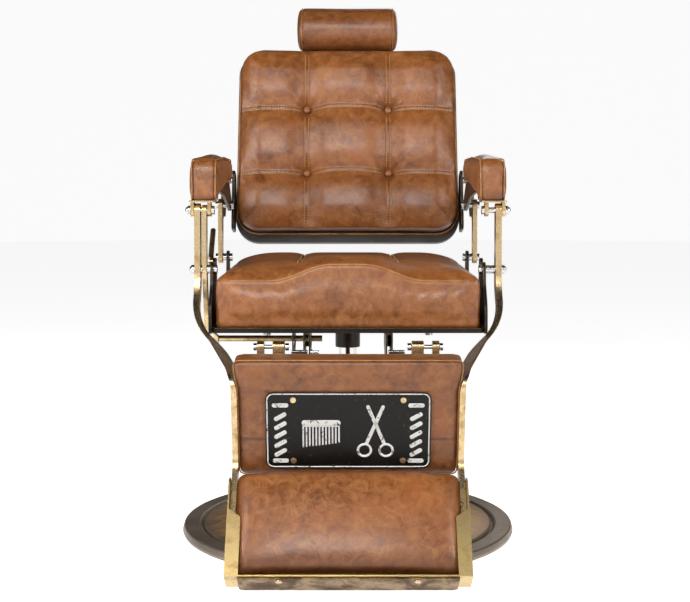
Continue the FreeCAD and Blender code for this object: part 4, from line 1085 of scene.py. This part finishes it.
for side in (-1, 1):
    for k in range(5):
        foot = Vector((side * 125 * MM - 11 * MM, (27 + 18 * k) * MM))
        raised("stripe", foot, foot + Vector((22, 13)) * MM, 8 * MM)
    for level in (17, 128):
        first = Vector((side * 125 - 15, level)) * MM
        raised("pole_end", first, first + Vector((30, 0)) * MM, 8 * MM)
raised("comb_back", Vector((-86, 92)) * MM, Vector((-14, 92)) * MM, 13 * MM)
for k in range(12):
    tooth = Vector((-83 + 6 * k, 90)) * MM
    raised("tooth", tooth, tooth - Vector((0, 46 - 0.8 * k)) * MM, 3 * MM)
for side in (-1, 1):
    hinge = Vector((50, 78)) * MM
    tip = hinge + Vector((side * 15, 50)) * MM
    grip = hinge + Vector((-side * 17, -28)) * MM
    raised("blade", grip, tip, 6.5 * MM)
    centre = grip + Vector((-side * 3, -12)) * MM
    ring = [Vector((centre.x + 12 * MM * cos(a), centre.y + 12 * MM * sin(a), (LOW + HIGH) / 2))
            for a in (2 * pi * k / 36 for k in range(36))]
    relief.append(swept("grip_ring", ring, 2.3 * MM))
raised_shapes = len(relief)
sign_relief = joined("sign_relief", relief)
finished(sign_relief, PANEL, white_enamel, "legs", "sign")
sign_relief.data.shade_flat()
print("sign: border and", raised_shapes, "raised shapes")

# %% [markdown]
# The footrest pad is the fullest cushion on the chair. It sits between the tray's walls, so it can
# only swell outwards, highest in the middle and pulled down at its ends and at its front lip.

# %% footrest pad
FOOT_HALF = 209 * MM
FOOT_LOW = 4 * MM
FOOT_HIGH = 199 * MM
foot = slab("footrest_leather", box_outline(FOOT_HALF, FOOT_LOW, FOOT_HIGH, 14 * MM), 1 * MM, 30 * MM,
            12 * MM)
stuffed(foot, 0.005, 4 * MM, 4.0)
places = points_of(foot)
u, v, w = places.T
across = np.clip(1 - (abs(u) / (FOOT_HALF + 4 * MM)) ** 2.6, 0, 1)
along = np.clip(1 - (abs(v - 98 * MM) / (102 * MM)) ** 2.4, 0, 1)
places[:, 2] += ramp(w, 6 * MM, 28 * MM) * 36 * MM * np.sqrt(across * along)
places[:, 1] += 10 * MM * ramp(v, 120 * MM, 190 * MM) * across
set_points(foot, places)
refined(foot)
places = points_of(foot)
rim = np.minimum(FOOT_HALF - abs(places[:, 0]), np.minimum(places[:, 1], FOOT_HIGH - places[:, 1]))
# Darker along the rim, with painted shade on the underside and a painted shadow of the tray's front lip
# across the front end.
store_darker_tone_and_shade(foot, 0.6 * near(rim, 10 * MM) + 0.5 * near(places[:, 2], 12 * MM)
      + 0.7 * ramp(-places[:, 1], -48 * MM, -8 * MM))
finished(foot, TRAY, leather, "legs", "leather", "footrest_pad", fill=0.9)
print("footrest:", len(foot.data.vertices), "points")

# %% [markdown]
# Small hardware. The bolts of the frame end in bright domed nuts: a six-sided body, a washer and a
# round cap. They sit over the plain heads of the imported bolts. One nut is turned and copied to both
# ends of the two front pivots, in the direction that the bolt's end faces.

# %% domed nuts
DOME = [(0, 8.6), (2.6, 8.1), (4.9, 6.8), (6.5, 4.9), (7.2, 2.6), (7.4, 0.2)]


def nut_shape():
    """A washer, a six-sided body with its corners turned off, and a dome."""
    washer = lathe("washer", [(0, 0), (10.4 * MM, 0), (10.8 * MM, 0.4 * MM), (10.4 * MM, 1.4 * MM),
                              (0, 1.5 * MM)], 32)
    body = lathe("body", [(0, 1.4 * MM), (8.4 * MM, 1.4 * MM), (9.3 * MM, 2.2 * MM), (9.3 * MM, 5.4 * MM),
                          (7.6 * MM, 6.4 * MM), (0, 6.6 * MM)], 6)
    cap = lathe("cap", [(r * MM, (h + 5.6) * MM) for r, h in DOME[::-1]], 28)
    whole = joined("nut", [washer, body, cap])
    mesh = whole.data
    bpy.data.objects.remove(whole)
    return mesh


nut = nut_shape()


def nuts(name, body, spots):
    """Nuts at places on a body, each facing along X by its sign."""
    parts = []
    for place, facing in spots:
        turn = Matrix.Rotation(facing * pi / 2, 4, "Y")
        parts.append((nut, Matrix.Translation(place) @ turn @ Matrix.Diagonal((1, 1, 0.8, 1))))
    made = together(name, parts)
    finished(made, STILL, bright_steel, body, "steel")
    made.data.shade_flat()


front_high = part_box("front_arm_bolts")[1]
A0 = pivot("leg_lever")
B0 = pivot("back_recline")
B1 = pivot("armrest_left_pivot")
A1 = Vector((0, A0.y, A0.z + (B1.z - B0.z)))
pivot_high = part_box("pivot_bolts")[1]
FRONT_HEAD = 6 * MM
PIVOT_HEAD = 7 * MM
for name, body, reach, place in (("armrest_nuts", "legs", front_high.x - FRONT_HEAD, A1),
                                 ("lever_nuts", "seat", pivot_high.x - PIVOT_HEAD, A0)):
    nuts(name, body, [(Vector((side * reach, place.y, place.z)), side) for side in (-1, 1)])
print("nuts: washer, hexagon and dome at the front pivots")

# %% [markdown]
# The pedal's rubber has ribs across it, and the clamp knob behind the back has finger grooves. They
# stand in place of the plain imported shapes.

# %% pedal rubber and clamp knob
low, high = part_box("pedal_rubber")
centre = (low + high) / 2
half_x, half_y = (high.x - low.x) / 2, (high.y - low.y) / 2
pedal = slab("pedal_rubber_pad", box_outline(half_x, -half_y, half_y, 9 * MM), low.z - centre.z,
             high.z - centre.z - 3 * MM, 3 * MM)
ribs = [pedal]
for k in range(7):
    level = -half_y + half_y * 2 * (k + 0.8) / 7.6
    rib_points = bar_points(Vector((-half_x + 7 * MM, level)), Vector((half_x - 7 * MM, level)), 4 * MM)
    ribs.append(slab("rib", rib_points, high.z - centre.z - 4 * MM, high.z - centre.z, 0.9 * MM))
pedal_pad = together("pedal_rubber_ribbed", [(part.data, Matrix.Translation(centre)) for part in ribs])
for part in ribs:
    bpy.data.objects.remove(part)
finished(pedal_pad, STILL, rubber, "pedal", "rubber", "pedal_rubber")

low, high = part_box("clamp_knob")
knob_middle = (low + high) / 2
KNOB = [(0, 0), (6, 0), (6.5, 6), (12, 8), (16, 10), (17.5, 13), (17.5, 19), (15.5, 22), (9, 23.4),
        (0, 23.6)]
knob = lathe("clamp_knob_fluted", [(r * MM, h * MM) for r, h in KNOB], 72)
places = points_of(knob)
turn = np.arctan2(places[:, 1], places[:, 0])
reach = np.hypot(places[:, 0], places[:, 1])
flute = 1 - 0.075 * (0.5 + 0.5 * np.cos(9 * turn)) * ramp(reach, 12 * MM, 16 * MM)
places[:, :2] *= flute[:, None]
set_points(knob, places)
knob_turn = (-back_out).to_track_quat("Z", "Y").to_matrix().to_4x4()
knob_place = Matrix.Translation(knob_middle + back_out * 9 * MM) @ knob_turn
finished(knob, knob_place, plastic, "back", "knob", "clamp_knob")

# %% [markdown]
# The floor is a wide sheet of pale paint, and a pale backdrop stands far behind it that only fills the
# view and casts no light.

# %% floor and backdrop
FLOOR = 13.0
GLOW = 0.9


def glowing(shader):
    """Give a surface its own white light, so that it stays pale far from the lamps."""
    shader.inputs["Emission Color"].default_value = (1, 1, 1, 1)
    shader.inputs["Emission Strength"].default_value = GLOW


floor_mesh = bpy.data.meshes.new("floor")
floor_mesh.from_pydata([(-FLOOR, -FLOOR, -1 * MM), (FLOOR, -FLOOR, -1 * MM), (FLOOR, FLOOR, -1 * MM),
                        (-FLOOR, FLOOR, -1 * MM)], [], [(0, 1, 2, 3)])
glowing(floor_paint.node_tree.nodes["Principled BSDF"])
floor_mesh.materials.append(floor_paint)
floor = bpy.data.objects.new("floor", floor_mesh)
scene.collection.objects.link(floor)
backdrop = lathe("backdrop", [(FLOOR - 0.2, -0.5), (FLOOR - 0.2, 8.0), (9.0, 11.0), (0, 12.0)], 48)
backdrop_paint, _, backdrop_shader, _ = new_finish("backdrop_paint", Roughness=1.0)
glowing(backdrop_shader)
backdrop.data.materials.append(backdrop_paint)
for hidden in ("visible_diffuse", "visible_glossy", "visible_transmission", "visible_shadow"):
    setattr(backdrop, hidden, False)
floor.visible_diffuse = False
